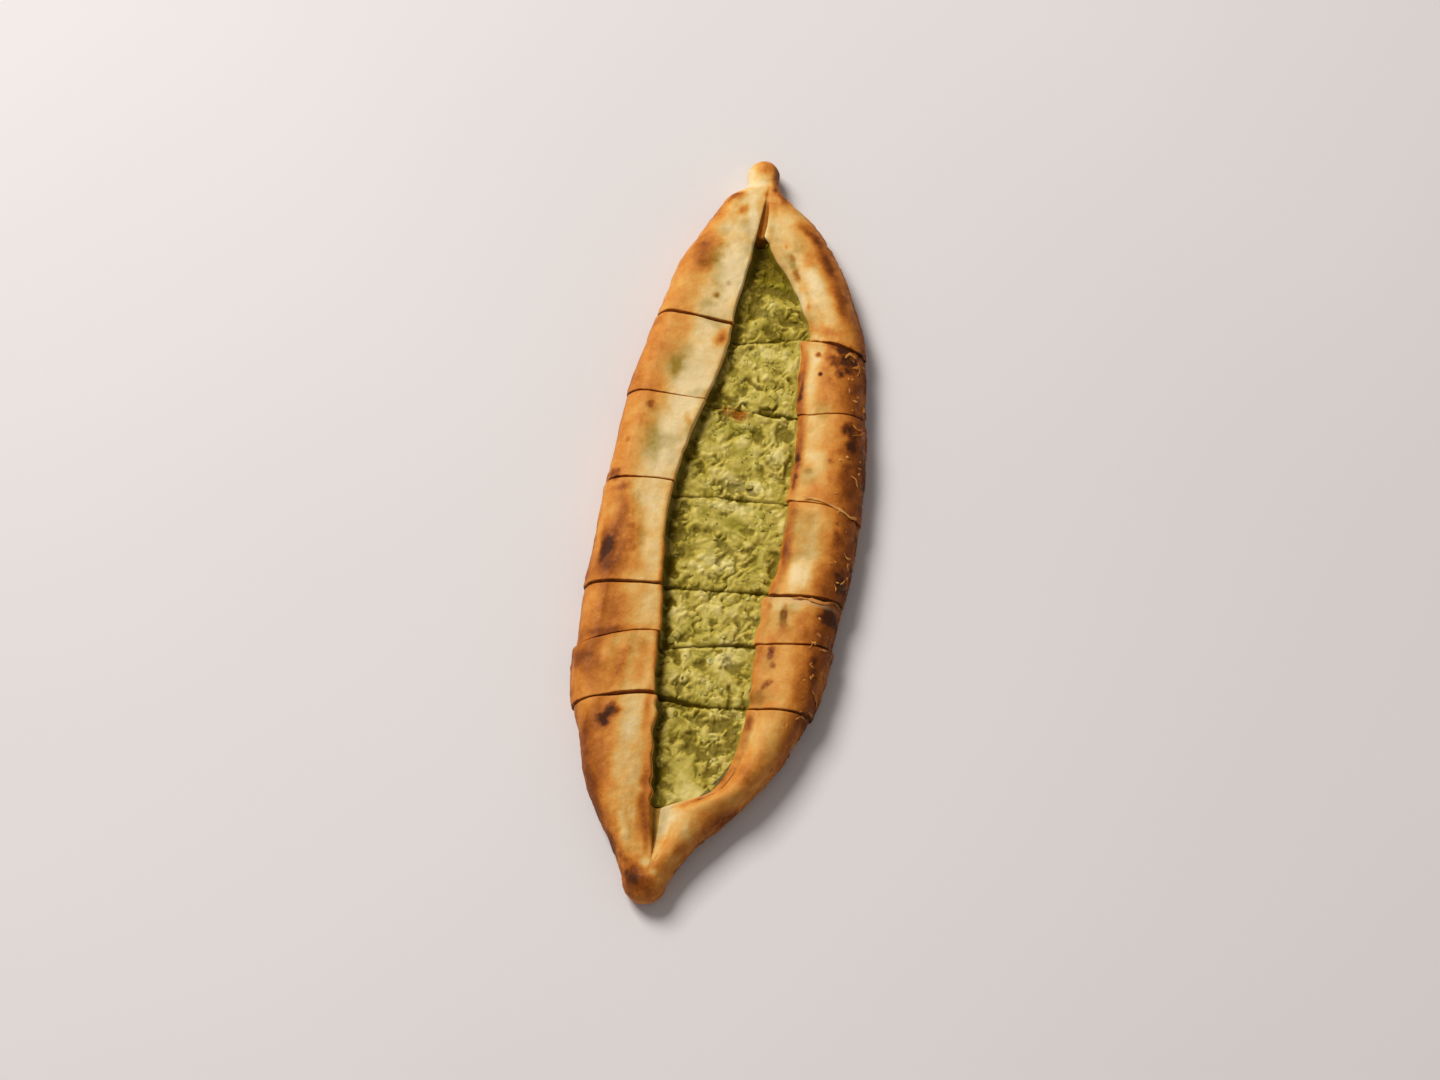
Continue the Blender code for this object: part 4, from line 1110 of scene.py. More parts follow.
def all_curls():
    """Every curl in one mesh, painted as torn skin. A scrap is a bent path of three places."""
    rng = np.random.default_rng(SCRAP_SEED)
    scraps = []
    for y in rng.uniform(-96, 88, SCRAPS):
        x = float(along(RIGHT_SIDE, y)) - rng.uniform(1.2, 11)
        dx, dy, bend = rng.normal(0, 1.0, 3)
        places = ((x, y), (x + dx + 0.5 * bend, y + dy), (x + dx, y + 1.8 * dy))
        scraps.append((places, rng.uniform(0.4, 1.1)))
    points, faces, count = [], [], 0
    for seed, (path, width) in enumerate(CURLS + tuple(scraps)):
        these, skin = curl(path, width, CURL_SEED + seed)
        points.append(these)
        faces.append(skin + count)
        count += len(these)
    points, faces = np.concatenate(points), np.concatenate(faces)
    none = 0 * points[:, 0]
    bake = 0.5 + 0.2 * cloud(points, 6, 95, 2)
    paint = np.stack([bake, none, none, 0.10 + 0.25 * cloud(points, 5, 96, 2)], 1)
    return add_piece("curls", np.concatenate([points, paint], 1), faces, crust_material, "crust",
                     paints=CRUST_PAINTS)


curls = all_curls()
print(curls.name, len(curls.data.polygons), "faces")

# %% [markdown]
# The cheese. Halloumi crumbled with a lot of chopped herb is a bed of soft curds, 1 to 5 mm across, with
# dark juice and herb between them. The dark between the curds is painted, partly as that juice and partly
# as painted shade. Thousands of separate curds would be heavy, and most would be hidden, so the bed is a
# sheet with curds as its relief. Marks of the dough's kind say where it is dark, pale, green with herb,
# smooth as paste, or toasted, and each slice has a tone of its own. Beside the left lip and at the far
# point, the dark marks and the darkening pale marks are painted shade.

# %% The marks on the cheese
BED_MARKS = {
    "toast": (
        (5, 49.4, 7.6, 3.0, -4, 0.70), (8, 47.6, 3.4, 3.4, -30, 0.8),
    ),
    "dark": (
        # Painted shade: the dark marks beside the left lip, such as (-10, 13) and (-11, -37.4), and at the
        # far point, (14, 123) and (9, 127); the others mark juice-dark hollows.
        (9, 48, 4, 2.4, 0, 0.6), (14, 62, 3.2, 3.6, 0, 0.6), (28, -63.5, 2.0, 1.4, 0, 1.0),
        (9, 40, 12, 2.6, -4, 0.7), (20, 38, 4, 2.6, 0, 0.5), (18, 51.4, 3, 2, 0, 0.7),
        (27, 50.6, 5, 2.2, 0, 0.8), (15, 90.5, 12, 2.4, 8, 0.5), (30, -1, 5, 3, 0, 0.7),
        (-2, -68, 4, 5, 0, 0.6), (2, -12, 3, 4, 0, 0.6), (3, -8, 4, 3, 0, 0.5), (14, 123, 6, 11, 25, 0.45),
        (3, 97, 4, 6, 0, 0.6), (2, 73, 3, 7, 0, 0.4), (-10, 13, 3, 6, 0, 0.5), (-5, -17, 4, 9, 0, 0.5),
        (-8, -38, 4, 3, 0, 0.5), (-6, -80, 3, 6, 0, 0.5), (2, -100, 4, 7, 0, 0.5), (19, -86, 4, 4, 0, 0.4),
        (5, -122, 8, 9, 0, 0.16), (24, -2, 3, 2.2, 0, 0.4), (2, -61, 5, 3.4, 0, 0.55),
        (13, -52.5, 2.6, 1.0, -30, 0.8), (9, 127, 8, 8, 0, 0.5), (-11, -37.4, 4, 2, 0, 0.8),
        (3, 89, 6, 3.4, 0, 0.7), (-1, -10, 3, 8, 0, 0.4), (19, -104, 5, 3, -20, 0.4),
        (8, -84, 5, 2.4, 0, 0.4), (-6, -22, 2.4, 10, 0, 0.3), (-8, 14, 2.4, 8, 0, 0.3),
        (4, 66, 3, 6, -20, 0.5),
    ),
    "green": (
        # The green mark at (14, 121) darkens the far point too, partly as painted shade.
        (9, 41, 14, 4, -4, 0.8), (12, -4.5, 8, 3.6, -10, 0.9), (14, 121, 9, 10, 0, 0.9),
        (15, 30, 14, 3.4, -4, 0.5), (17, -9, 7, 3.2, -4, 0.6), (4, -60, 8, 4, 0, 0.4),
        (10, 20, 5, 3, 0, 0.3), (30, -72, 5, 12, 0, 0.35),
    ),
    "pale": (
        (5, -23, 3, 3, 0, 0.2), (6, -32, 3, 3, 0, 0.2), (12, 3.6, 8, 2, 0, 0.2), (28, 27, 5, 8, 0, 0.14),
        (27, 32, 5, 9, 0, 0.06), (7, 15, 9, 5, 0, 0.2), (18, -70, 5, 4, 0, 0.34),
        (21, -112, 5, 14, 0, 0.14), (14, 110, 5, 5, 0, 0.2), (13, 118, 9, 10, 20, -0.26),
        # The negative marks from (3, 97) to (1, -64), in the cheese's left part, darken it as painted shade.
        (14, 102, 8, 6, 0, 0.30), (25, 96, 6, 4, 0, 0.10), (9, -25, 4, 4, 0, 0.35), (3, 97, 4, 7, 0, -0.26),
        (2, 72, 3, 8, 0, -0.16), (2, -102, 4, 8, 0, -0.28), (8, -122, 8, 10, 0, -0.14),
        (-6, -18, 4, 9, 0, -0.22), (-7, -38, 4, 4, 0, -0.26), (1, -64, 5, 5, 0, -0.16),
        (27, 33, 5, 9, 0, 0.14), (8, 16, 9, 5, 0, 0.16), (17.6, -69, 4, 3, 0, 0.3),
        (21, -110, 5, 14, 0, 0.12), (29, -6, 5, 5, 0, -0.14), (15, 126, 5, 9, 25, -0.14),
        (10, 58, 8, 10, 0, 0.10), (10, 3, 14, 3, -4, 0.25), (20, 82, 14, 4, 8, 0.25),
        (12, -4.5, 8, 3.6, -10, -0.2), (22, -94, 9, 3, 0, 0.25), (11, -132, 6, 5, 0, 0.36),
        (18, -15, 8, 4, 0, 0.2), (20, 96, 7, 2, 0, 0.2), (10, -24, 12, 8, 0, 0.12), (20, 14, 4, 4, 0, 0.3),
        (6, -122, 6, 12, 0, 0.14), (20, -64, 5, 4, 0, 0.2), (14, 9, 7, 6, 0, 0.15),
    ),
    "smooth": (
        (6, -124, 7, 10, 0, 1.0), (12, 108, 12, 16, 0, 0.25), (12, -4, 8, 4, -8, 0.8),
        (11, -132, 6, 5, 0, 0.9),
    ),
}
# Slice 1's low tone is partly painted shade under the far point.
BED_TONES = (-0.20, -0.06, -0.04, -0.03, 0.02, 0.03, -0.05)


def bed_mark(kind, x, y):
    """How strong the marks of one kind are on the cheese, by the same rule as on the dough, but even."""
    return marks_at(BED_MARKS[kind], x, y, 1.3, 0.4, 0 * x)


print("marks on the cheese:", {kind: len(marks) for kind, marks in BED_MARKS.items()})

# %% [markdown]
# Curds. A cloud folded at zero has round tops and sharp valleys, as soft lumps pressed together have. Three
# of them, of different sizes, make the curds, on a plain cloud for the clumps. They are read at places that
# other clouds have warped, and turned against each other, or the lattice would show as rows.

# %% Curds
CURD_TURN = np.array([[0.8, 0.6, 0], [-0.6, 0.8, 0], [0, 0, 1]])
CURD_WARP = 1.4


def on_plan(x, y):
    """Points at height 0, for clouds that should not change with the height."""
    return np.stack([x, y, 0 * x], -1)


def curds_at(x, y):
    """The curds: their height over the bed, how hollow it is between them, and how pale they are. Clumps
    are a cloud, and curds are billows: a weighted sum of sqrt(cloud^2 + softness^2) at three sizes."""
    flat = on_plan(x, y)
    bent = flat + CURD_WARP * np.stack([cloud(flat, 6, 31, 2), cloud(flat, 6, 39, 2), 0 * x], -1)
    askew = bent @ CURD_TURN
    clump = cloud(bent, 6.6, 32, 2)
    billow = 0
    for weight, points, size, seed, softness in (
            (0.75, askew, 4.6, 33, 0.12), (0.70, askew, 2.5, 34, 0.12), (0.30, flat, 1.5, 36, 0.15)):
        billow = billow + weight * np.hypot(cloud(points, size, seed, 1), softness)
    hollow = ease(0.84, 0.16, billow + 0.9 * clump)
    # Dark marks deepen the hollows; beside the left lip and at the far point they are painted shade.
    hollow = np.clip(hollow + bed_mark("dark", x, y) * (0.45 + 0.8 * cloud(bent, 3.4, 40, 2)), 0, 1.2)
    rough = 1 - 0.75 * bed_mark("smooth", x, y)
    height = rough * (0.8 * clump + 1.0 * billow - 0.7 * hollow)
    pale = 0.60 * clump + 0.9 * rough * (billow - 0.68)
    return SimpleNamespace(height=height - 0.6, hollow=hollow * (0.4 + 0.6 * rough), pale=pale)


some_curds = curds_at(*np.meshgrid(np.linspace(0, 30, 60), np.linspace(0, 30, 60)))
print(f"curds differ by {np.ptp(some_curds.height):.1f} mm in height")

# %% [markdown]
# The filling as a whole. It fills the trough and goes a little way under the flaps, where it thins out.
# Between the flaps its top is the bed of curds, and under them it is smooth, as it can't be seen. Like the
# dough it is worked out by reach and height in the section, and its two faces are closed into a slab.

# %% The bed's height
LIP_GROOVE = ((-140, 3.6), (-90, 3.4), (0, 3.1), (25, 2.9), (45, 1.8), (65, 0.3), (100, -0.2), (136, -0.2))
FAR_SINK = 4.2


def bed_height(index, m, x, y):
    """Height of the bare cheese, and its curds. It sinks beside the left lip, where it has drawn away from
    the flap, and towards the far point. The knife dragged a slice's far edge up and its near edge down."""
    curds = curds_at(x, y)
    far, near = cut_ends(FILLING_CUTS, FILLING_GAPS, index, x)
    groove = along(LIP_GROOVE, y) * ease(6.5, 0.5, x - m.middle + m.lip) * ease(2, 8, m.lip)
    swell = 0.5 * cloud(on_plan(x, y), 14, 36, 2)
    dragged = 0.6 * ease(5, 0.6, far - y) - 0.5 * ease(4, 0.4, y - near)
    return FILLING_LEVEL + swell + dragged + curds.height - groove - FAR_SINK * ease(114, 132, y), curds


def cut_rounding(index, x, from_far, to_near):
    """How far the cheese falls at its cuts: (0.15 + gap) * ease(1.2, 0, distance), for both ends."""
    far_gap = along(FILLING_GAPS[index - 1], x) if index > 0 else 1.0
    near_gap = along(FILLING_GAPS[index], x) if index < len(FILLING_GAPS) else 1.0
    return (0.15 + far_gap) * ease(1.2, 0.0, from_far) + (0.15 + near_gap) * ease(1.2, 0.0, to_near)


some_height, _ = bed_height(3, middle_of_bread, np.array([10.0]), np.array([-20.0]))
print(f"at x = 10, y = -20 the cheese is {some_height[0]:.1f} mm high")


# %% The filling's faces
UNDER_FLAP = 8
HALF_BARE = 26


def bed_reach(m, v):
    """Reach from the middle at v: 0 to 1 goes to the lip, and 1 to 2 on to the edge under the flap."""
    end = m.end - FILLING_GAP
    return np.where(v < 1, v * m.lip, m.lip + (v - 1) * (end - m.lip))


def bed_point(m, v, upper):
    """Reach and height of the filling's lower or upper face. Both keep their gap to the dough and close up
    towards the edge."""
    reach = bed_reach(m, v)
    end = m.end - FILLING_GAP
    roof = ROOF_HEIGHT - FILLING_GAP
    past_lip = np.clip((reach - m.lip) / np.maximum(end - m.lip, 1.0), 0, 1)
    low = m.low + FILLING_GAP + 2.6 * ease(0.5, 1.0, past_lip) ** 2
    if not upper:
        return reach, low
    return reach, np.maximum(roof - 0.25 - 2.6 * ease(0.3, 1.1, past_lip), low + 0.8)


def bed_sheets(index):
    """The filling's lower and upper face, still smooth, and each ring's distance from the far and the near
    end."""
    far, near = (float(v) for v in cut_ends(FILLING_CUTS, FILLING_GAPS, index, np.array(0.0)))
    first = max(0.0, (far - TROUGH_ENDS[1][0] - FILLING_PAST[1]) / (far - near))
    last = min(1.0, (far - TROUGH_ENDS[-1][0] + FILLING_PAST[-1]) / (far - near))
    step = 0.75 * FINE
    shares = np.linspace(first, last, round((last - first) * (far - near) / step) + 1)
    bare = np.linspace(-1, 1, 2 * round(HALF_BARE / step) + 1)
    v = np.concatenate([-2 + np.linspace(0, 1, UNDER_FLAP, endpoint=False), bare,
                        1 + np.linspace(0, 1, UNDER_FLAP + 1)[1:]])
    sheets = []
    for upper in (False, True):
        halves = []
        for side, part in ((-1, v[v < 0]), (1, v[v >= 0])):
            halves.append(stretch(FILLING_CUTS, FILLING_GAPS, index, shares, side,
                                  lambda m, part=part: bed_point(m, abs(part), upper), len(part)))
        sheets.append(np.concatenate(halves, 1))
    return *sheets, (shares - first)[:, None] * (far - near), (last - shares)[:, None] * (far - near)


print("slice 4's filling has faces of", bed_sheets(3)[0].shape[:2], "points")

# %% [markdown]
# The cheese's paint. Four numbers are kept at each point: how lit and dry it is, from 0 in the gaps to 1 on
# top, then tone, toast and herb. The first is painted shade and juice: the gaps between curds are darker
# for both. Beside the high left lip the light hardly reaches the cheese, so there it falls as painted shade,
# in a narrow band and in a wide one, and again at the far point and at the cuts.

# %% Painting and closing the bed
SHADE_ALONG = ((-140, 0.50), (-90, 0.40), (-60, 0.32), (-40, 0.40), (0, 0.45), (30, 0.30), (60, 0.30),
               (100, 0.26), (116, 0.4), (126, 0.75), (136, 0.9))
BED_TONE = 0.50
CHEESE_PAINTS = ("depth", "tone", "toast", "herb")
# Hidden faces and the cut faces down the knife gaps get a first number below 1, so they are painted partly
# into shade and juice.
HIDDEN_CHEESE = np.array((0.6, 0.45, 0.0, 0.2))
CUT_CHEESE = np.array((0.55, 0.5, 0.0, 0.2))
CHEESE_ROUGHNESS = 0.4


def lip_shade(from_lip, y):
    """How much painted shade darkens the cheese, by distance from the left lip: a narrow and a wide band."""
    return 0.25 * ease(4.6, 1.0, from_lip) + along(SHADE_ALONG, y) * ease(13, 4, from_lip)


def paint_bed(index, x, y, from_lip, curds, rounding):
    """The cheese's four numbers on its upper face. The first is painted shade and juice."""
    plan = on_plan(x, y)
    # Painted shade and juice: hollows darken for both; the left lip's band, the far point and the cuts' fall
    # are painted shade.
    depth = 1 - 0.62 * curds.hollow - (lip_shade(from_lip, y) + 0.55 * ease(116, 130, y)) - 0.5 * rounding
    tone = BED_TONE + BED_TONES[index] + 0.22 * cloud(plan, 7, 37, 3) + 0.34 * curds.pale
    tone = tone + bed_mark("pale", x, y)
    herb = 0.8 * ease(0.30, 0.8, cloud(plan, 4.6, 38, 3)) + bed_mark("green", x, y)
    return np.stack([depth, tone, bed_mark("toast", x, y), herb], -1)


def bed_slab(index):
    """Points and faces of one slice's filling: the upper face is raised to the bed between the lips, falls
    at the cuts, and is painted."""
    lower, upper, from_far, to_near = bed_sheets(index)
    x, y = upper[..., 0], upper[..., 1]
    m = measures(index, y, 1)
    height, curds = bed_height(index, m, x, y)
    rounding = cut_rounding(index, x, from_far, to_near)
    height = np.maximum(height - rounding, m.low + 2.0)
    upper[..., 2] += (height - upper[..., 2]) * ease(m.lip + 0.2, m.lip - 1.6, abs(x - m.middle))
    paint = paint_bed(index, x, y, x - m.middle + m.lip, curds, rounding)
    lower = np.concatenate([lower, np.broadcast_to(HIDDEN_CHEESE, lower.shape[:2] + (4,))], -1)
    upper = np.concatenate([upper, paint], -1)
    return slab(lower, upper, index > 0, index < len(FILLING_CUTS), CUT_CHEESE, CHEESE_ROUGHNESS)


print("the cheese is painted with", CHEESE_PAINTS)

# %% [markdown]
# The cheese's finish. Its colour runs from deep olive through yellow-green to a pale, warm yellow, so it is
# a ramp again, read by tone. Herb tints it, and where the first number is low, in the gaps and in the
# painted shade, it turns dark olive, as juice and as shade. One spot is toasted. Fresh cheese lets much
# light in, and that is what makes it look soft. It has almost no gloss, or each curd would glitter.

# %% Crumbled cheese
def make_cheese():
    """The cheese's material: a ramp over tone + noise, then herb, painted shade and juice, and toast over
    it.
    """
    g = Graph("crumbled cheese and herbs", 0.6)
    tone = g.math("ADD", g.attribute("tone"), g.uneven(400, 4, 0.32))
    colour = g.ramp(tone, (
        (0.0, (0.235, 0.176, 0.010)), (0.3, (0.41, 0.315, 0.037)), (0.6, (0.59, 0.472, 0.094)),
        (0.8, (0.71, 0.585, 0.185)), (1.0, (0.79, 0.67, 0.26))), smooth=False)
    colour = g.mix(g.math("MULTIPLY", g.attribute("herb"), 0.45), colour, (0.30, 0.27, 0.012))
    depth = g.math("ADD", g.attribute("depth"), g.uneven(800, 3, 0.2))
    # Painted shade and juice: where the first number is low the colour is mixed towards dark olive.
    painted_shade_and_juice = g.ramp(depth, ((0.10, (1, 1, 1)), (0.92, (0, 0, 0))))
    colour = g.mix(g.math("MULTIPLY", painted_shade_and_juice, 0.9), colour, (0.17, 0.118, 0.003))
    toast = g.math("MULTIPLY", g.attribute("toast"), g.scaled_noise(380, 4, 2.0, -0.1))
    colour = g.mix(toast, colour, (0.32, 0.11, 0.004))
    g.join(g.shader.inputs["Base Color"], colour)
    g.bump(0.2, 0.0002, g.math("ADD", g.noise(1100, 3), g.math("MULTIPLY", g.noise(450, 3), 1.5)))
    g.soft_inside(0.8, (1.0, 0.85, 0.5), 0.0016)
    g.shader.inputs["Specular IOR Level"].default_value = 0.12
    return g.material


cheese_material = make_cheese()
for index in range(len(SLICES)):
    piece = add_piece(f"cheese_{index + 1}", *bed_slab(index), cheese_material, "filling",
                      f"filling_{index + 1}", CHEESE_PAINTS)
    print(piece.name, len(piece.data.polygons), "faces")

# %% [markdown]
# Loose crumbs. A height can't overhang, so the bed alone looks like a quilt. Real crumbs lie on top of each
# other, and the shadows under them are what the eye reads as crumbly. So about 170 lumps are scattered over
# the bed, fewer in its hollows and where it is smooth. Each is the same small ball of faces, pulled out of
# round by its own random amounts. All of them are one mesh, worked out as arrays, which is far quicker than
# copies.

# %% A ball of faces
def ball(levels):
    """Points and triangles of an icosahedron on a unit ball, its faces split in four, levels times."""
    golden = (1 + 5**0.5) / 2
    points = np.array([(a * 1.0, b * golden, 0) for a in (-1, 1) for b in (-1, 1)])
    points = np.concatenate([points, points[:, [2, 0, 1]], points[:, [1, 2, 0]]])
    points /= np.linalg.norm(points[0])
    edge = np.linalg.norm(points[:, None] - points, axis=-1)
    near = edge < 1.1 * np.min(edge[edge > 0.1])
    corners = [(i, j, k) for i in range(12) for j in range(i + 1, 12) for k in range(j + 1, 12)
               if near[i, j] and near[j, k] and near[i, k]]
    faces = np.array(corners)
    outward = np.einsum("ij,ij->i", np.cross(points[faces[:, 1]] - points[faces[:, 0]],
                                             points[faces[:, 2]] - points[faces[:, 0]]), points[faces[:, 0]])
    faces[outward < 0] = faces[outward < 0][:, ::-1]
    for _ in range(levels):
        edges = np.sort(np.concatenate([faces[:, [0, 1]], faces[:, [1, 2]], faces[:, [2, 0]]]), 1)
        unique, which = np.unique(edges, axis=0, return_inverse=True)
        middle = points[unique].mean(1)
        middle /= np.linalg.norm(middle, axis=1, keepdims=True)
        ab, bc, ca = which.reshape(3, -1) + len(points)
        a, b, c = faces.T
        points = np.concatenate([points, middle])
        parts = (a, ab, ca), (ab, b, bc), (ca, bc, c), (ab, bc, ca)
        faces = np.concatenate([np.stack(part, 1) for part in parts])
    return points, faces


print("a ball split twice has", len(ball(2)[1]), "faces")


# %% Places on the bare cheese
def slice_at(x, y):
    """Which slice of the filling a place is in, and how far it is from the nearest cut."""
    lines = np.stack([along(cut, x) for cut in FILLING_CUTS])
    return (y < lines).sum(0), abs(lines - y).min(0)


def bare_places(count, seed, margin):
    """Random places on the bare filling, their slice, and the hollow there from 0 to 1."""
    rng = np.random.default_rng(seed)
    y = rng.uniform(TROUGH_ENDS[-1][0] + 2, TROUGH_ENDS[1][0] - 12, count)
    x = rng.uniform(-20, 40, count)
    which, from_cut = slice_at(x, y)
    height, hollow = np.zeros(count), np.zeros(count)
    inside = np.zeros(count, bool)
    for index in range(len(SLICES)):
        mine = which == index
        m = measures(index, y[mine], 1)
        inside[mine] = abs(x[mine] - m.middle) < m.lip - margin
        height[mine], curds = bed_height(index, m, x[mine], y[mine])
        hollow[mine] = curds.hollow
    keep = inside & (from_cut > margin)
    return np.stack([x, y, height], 1)[keep], which[keep], hollow[keep]


print("of 100 places, as many as", len(bare_places(100, 1, 1.0)[0]), "are on bare cheese")


# %% Copies of a shape
def turned(rng, count):
    """Random rotation matrices, one for each of count things: the QR parts of random matrices."""
    matrices, _ = np.linalg.qr(rng.normal(size=(count, 3, 3)))
    return matrices * np.sign(np.linalg.det(matrices))[:, None, None]


def scatter(shape, faces, places, matrices, paint):
    """One array of points and faces from copies of a shape, one at each place, with its own matrix."""
    copies = np.einsum("nij,pj->npi", matrices, shape) + places[:, None]
    rows = np.concatenate([copies, np.repeat(paint[:, None], len(shape), 1)], -1)
    numbers = faces[None] + len(shape) * np.arange(len(places))[:, None, None]
    return rows.reshape(-1, rows.shape[-1]), numbers.reshape(-1, faces.shape[1])


print("one random turn:", turned(np.random.default_rng(2), 1).round(2).tolist())

# %% Crumbs
# More places are tried than are used, because those off the bare cheese are dropped.
CRUMB_PLACES = 360
CRUMB_SEED = 51
CRUMB_TONE = 0.56


def scatter_crumbs(count, seed):
    """Crumbs of cheese, half sunk in the bed. Each copy is pushed about by a cloud at its own place, so no
    two have the same shape."""
    rng = np.random.default_rng(seed)
    shape, faces = ball(2)
    places, which, hollow = bare_places(count, seed + 1, 1.3)
    smooth = bed_mark("smooth", places[:, 0], places[:, 1])
    keep = rng.uniform(0, 1, len(places)) < 1 - 0.95 * smooth - 0.6 * hollow
    places, which, hollow = places[keep], which[keep], hollow[keep]
    number = len(places)
    radius = 0.8 + 1.1 * rng.uniform(0, 1, number) ** 1.5
    stretch_by = rng.uniform(0.6, 1.4, (number, 3))
    matrices = turned(rng, number) * (radius[:, None] * stretch_by)[:, None, :]
    matrices[:, 2] *= 0.5
    places[:, 2] -= 0.25 * radius
    x, y = places[:, 0], places[:, 1]
    tone = CRUMB_TONE + np.array(BED_TONES)[which] + 0.10 * rng.normal(size=number) + bed_mark("pale", x, y)
    # Painted shade: crumbs in hollows and beside the left lip are darkened, as the bed is.
    depth = 1 - 0.4 * hollow - lip_shade(x - along(LEFT_LIP, y), y)
    paint = np.stack([depth, tone, bed_mark("toast", x, y), rng.uniform(0, 1, number) ** 3], 1)
    rows, numbers = scatter(shape, faces, places, matrices, paint)
    pushed = np.stack([cloud(rows[:, :3], 1.3, seed + way, 2) for way in (3, 4, 5)], -1)
    rows[:, :3] += 0.26 * np.repeat(radius, len(shape))[:, None] * pushed
    return add_piece("crumbs", rows, numbers, cheese_material, "filling", paints=CHEESE_PAINTS)


crumbs = scatter_crumbs(CRUMB_PLACES, CRUMB_SEED)
print(crumbs.name, len(crumbs.data.polygons), "faces")

# %% [markdown]
# Chopped herb. The herb that shows as leaf is in torn scraps under 2 mm long, bent and dark olive, turned
# every way and half buried. Each copy is the same thin closed shell, made larger or smaller at random.

# %% A scrap of herb
HALF_THICKNESS = 0.07


def make_herb():
    """The herb's material: dark olive, lighter or darker for each scrap, with fine bumps."""
    g = Graph("chopped herb", 0.5)
    colour = g.ramp(g.attribute("tone"), ((0.0, (0.10, 0.095, 0.005)), (1.0, (0.26, 0.24, 0.03))))
    g.join(g.shader.inputs["Base Color"], colour)
    g.bump(0.4, 0.0002, g.noise(1500, 3))
    return g.material


def leaf_scrap():
    """A torn scrap of leaf: a closed shell over a 4 by 3 grid, with z = a bend of x^2 and sin(y), and half
    the thickness more on top and less below."""
    a, b = np.meshgrid(np.linspace(-1, 1, 4), np.linspace(-0.55, 0.55, 3), indexing="ij")
    width = 1 - 0.45 * a**2
    bend = 0.30 * a**2 + 0.18 * np.sin(5 * b)
    top = np.stack([a, b * width, bend + HALF_THICKNESS], -1).reshape(-1, 3)
    bottom = np.stack([a, b * width, bend - HALF_THICKNESS], -1).reshape(-1, 3)
    number = np.arange(12).reshape(4, 3)
    quads = np.stack([number[:-1, :-1], number[1:, :-1], number[1:, 1:], number[:-1, 1:]], -1).reshape(-1, 4)
    rim = np.concatenate([number[:, 0], number[-1, 1:], number[-2::-1, -1], number[0, -2:0:-1]])
    after = np.roll(rim, -1)
    wall = np.stack([rim, rim + 12, after + 12, after], 1)
    return np.concatenate([top, bottom]), np.concatenate([quads, quads[:, ::-1] + 12, wall])


print("a scrap has", len(leaf_scrap()[1]), "faces")

# %% Chopped herb
HERB_PLACES = 260
HERB_SEED = 61


def scatter_herbs(count, seed):
    """Scraps of herb on the bare cheese, each turned at random and flattened towards the bed."""
    rng = np.random.default_rng(seed)
    shape, faces = leaf_scrap()
    places, _, _ = bare_places(count, seed + 1, 1.0)
    number = len(places)
    length = rng.uniform(0.4, 0.9, number)
    stretched = turned(rng, number) * length[:, None, None]
    stretched[:, 2] *= 0.35
    places[:, 2] += rng.uniform(-0.1, 0.2, number)
    paint = rng.uniform(0, 1, (number, 1))
    return add_piece("herbs", *scatter(shape, faces, places, stretched, paint), make_herb(), "filling",
                     paints=("tone",))


herbs = scatter_herbs(HERB_PLACES, HERB_SEED)
print(herbs.name, len(herbs.data.polygons), "faces")

# %% [markdown]
# The view. The camera looks down steeply on the bread from its browner end, a little from the right, and is
# rolled by 4 degrees, as a hand holds it. A soft lamp at the upper left gives the dark band under the left
# lip and the shadow on the right. A pale floor and an even sky fill the rest.

# %% Camera
SENSOR_WIDTH = 36.0
CAMERA = {"lens": 77.5, "azimuth": 4.683, "elevation": 68.539, "roll": 4.037, "distance": 1405.96,
          "target": (7.22, -8.0, 0.0)}


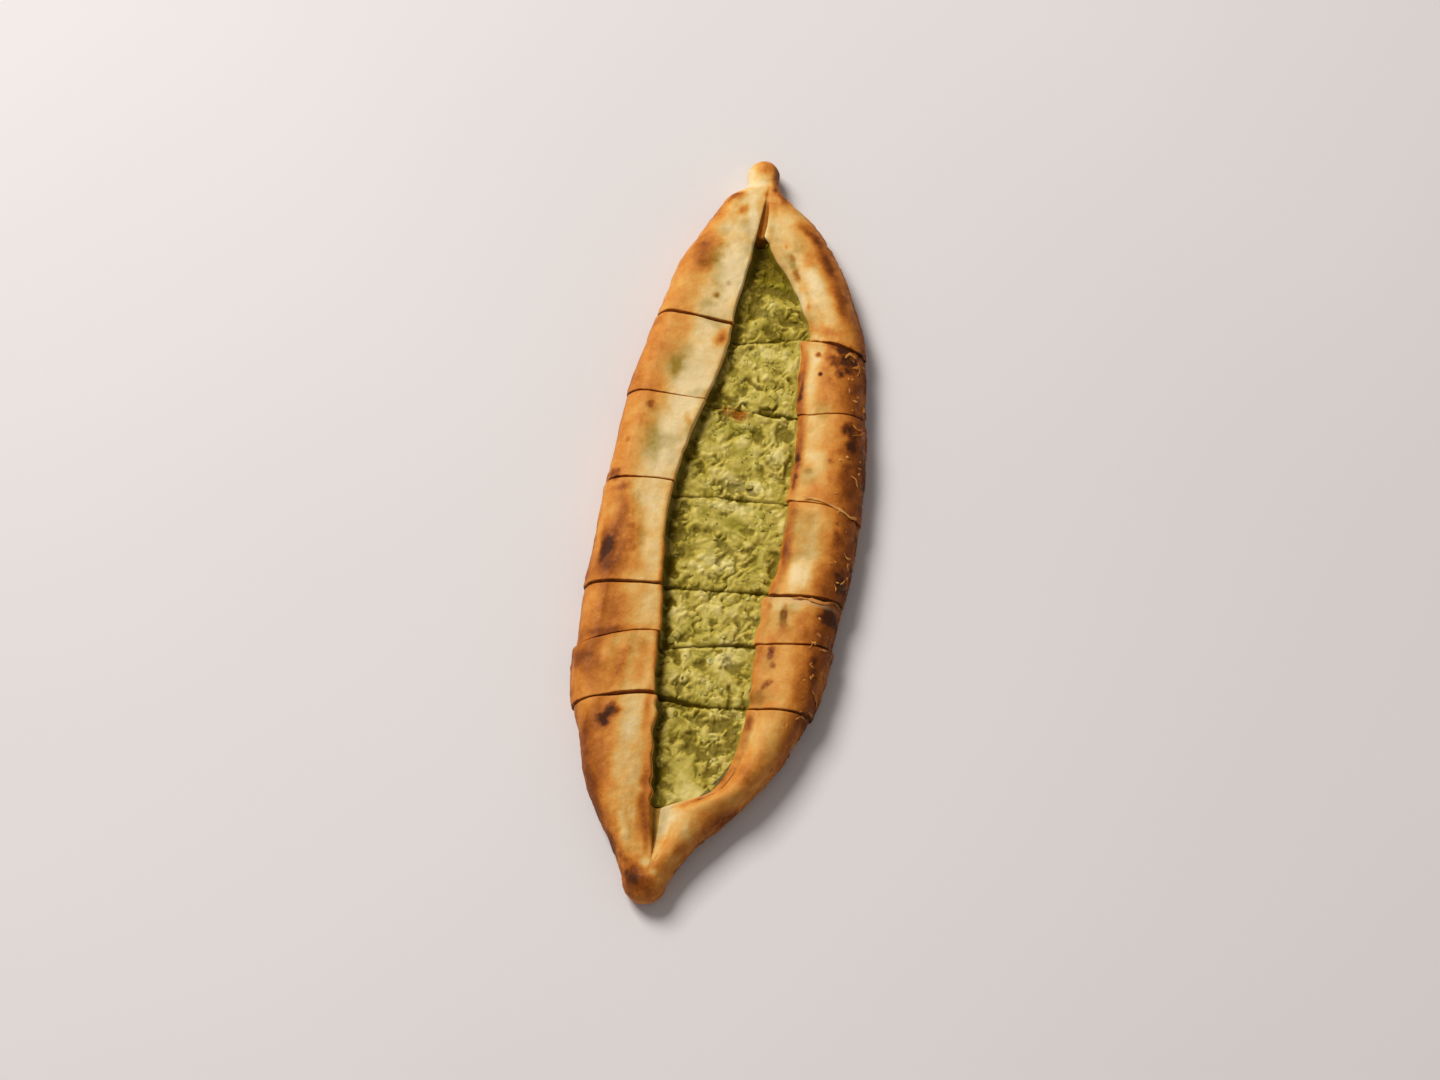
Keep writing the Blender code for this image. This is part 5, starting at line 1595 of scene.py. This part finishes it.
def make_camera(lens, azimuth, elevation, roll, distance, target):
    """A camera at a distance from its target, in a direction in degrees, rolled about its own axis."""
    a, e, r = np.radians((azimuth, elevation, roll))
    back = np.array([np.sin(a) * np.cos(e), -np.cos(a) * np.cos(e), np.sin(e)])
    level = np.array([np.cos(a), np.sin(a), 0.0])
    up = np.cross(back, level)
    right = np.cos(r) * level + np.sin(r) * up
    upward = -np.sin(r) * level + np.cos(r) * up
    data = bpy.data.cameras.new("camera")
    data.lens = lens
    data.sensor_width = SENSOR_WIDTH
    camera = add_object("camera", data)
    place = (np.array(target) - BREAD_CENTRE + distance * back) * METRE
    turn = Matrix(np.stack([right, upward, back], 1).tolist()).to_4x4()
    camera.matrix_world = Matrix.Translation(Vector(place)) @ turn
    bpy.context.scene.camera = camera


make_camera(**CAMERA)
print("camera", CAMERA["lens"], "mm")


# %% Light and floor
LAMP = {"name": "window", "place": (-1.54, 1.23, 2.24), "size": 1.25, "watts": 84.0,
        "colour": (1.0, 0.975, 0.95)}
SKY_COLOUR = (1.0, 0.98, 0.96, 1.0)
SKY_STRENGTH = 0.24
FLOOR_REACH = 4.0
FLOOR_GAP = 0.0002


def make_lamp(name, place, size, watts, colour):
    """A square area lamp, size metres wide, that faces the bread from a place in metres."""
    data = bpy.data.lights.new(name, "AREA")
    data.shape = "SQUARE"
    data.size = size
    data.energy = watts
    data.color = colour
    lamp = add_object(name, data)
    lamp.location = place
    lamp.rotation_euler = (-Vector(place)).to_track_quat("-Z", "Y").to_euler()


def make_floor(reach):
    """A pale level floor, reach metres each way, a little below the bread's base, so that the two never
    share a plane."""
    g = Graph("pale floor", 0.8)
    colour = g.ramp(g.noise(2.0, 2), ((0.3, (0.77, 0.73, 0.715)), (0.7, (0.80, 0.76, 0.745))))
    g.join(g.shader.inputs["Base Color"], colour)
    mesh = bpy.data.meshes.new("floor")
    corners = [(-reach, -reach), (reach, -reach), (reach, reach), (-reach, reach)]
    mesh.from_pydata([(x, y, -FLOOR_GAP) for x, y in corners], [], [(0, 1, 2, 3)])
    mesh.materials.append(g.material)
    floor = add_object("floor", mesh)


make_lamp(**LAMP)
make_floor(FLOOR_REACH)
sky = bpy.data.worlds.new("sky")
sky.use_nodes = True
background = sky.node_tree.nodes["Background"]
background.inputs["Color"].default_value = SKY_COLOUR
background.inputs["Strength"].default_value = SKY_STRENGTH
bpy.context.scene.world = sky
bpy.context.scene.view_settings.view_transform = "Standard"

# %% [markdown]
# The end. The dressed bread may stand a little proud of the solids, but it must not change their size.
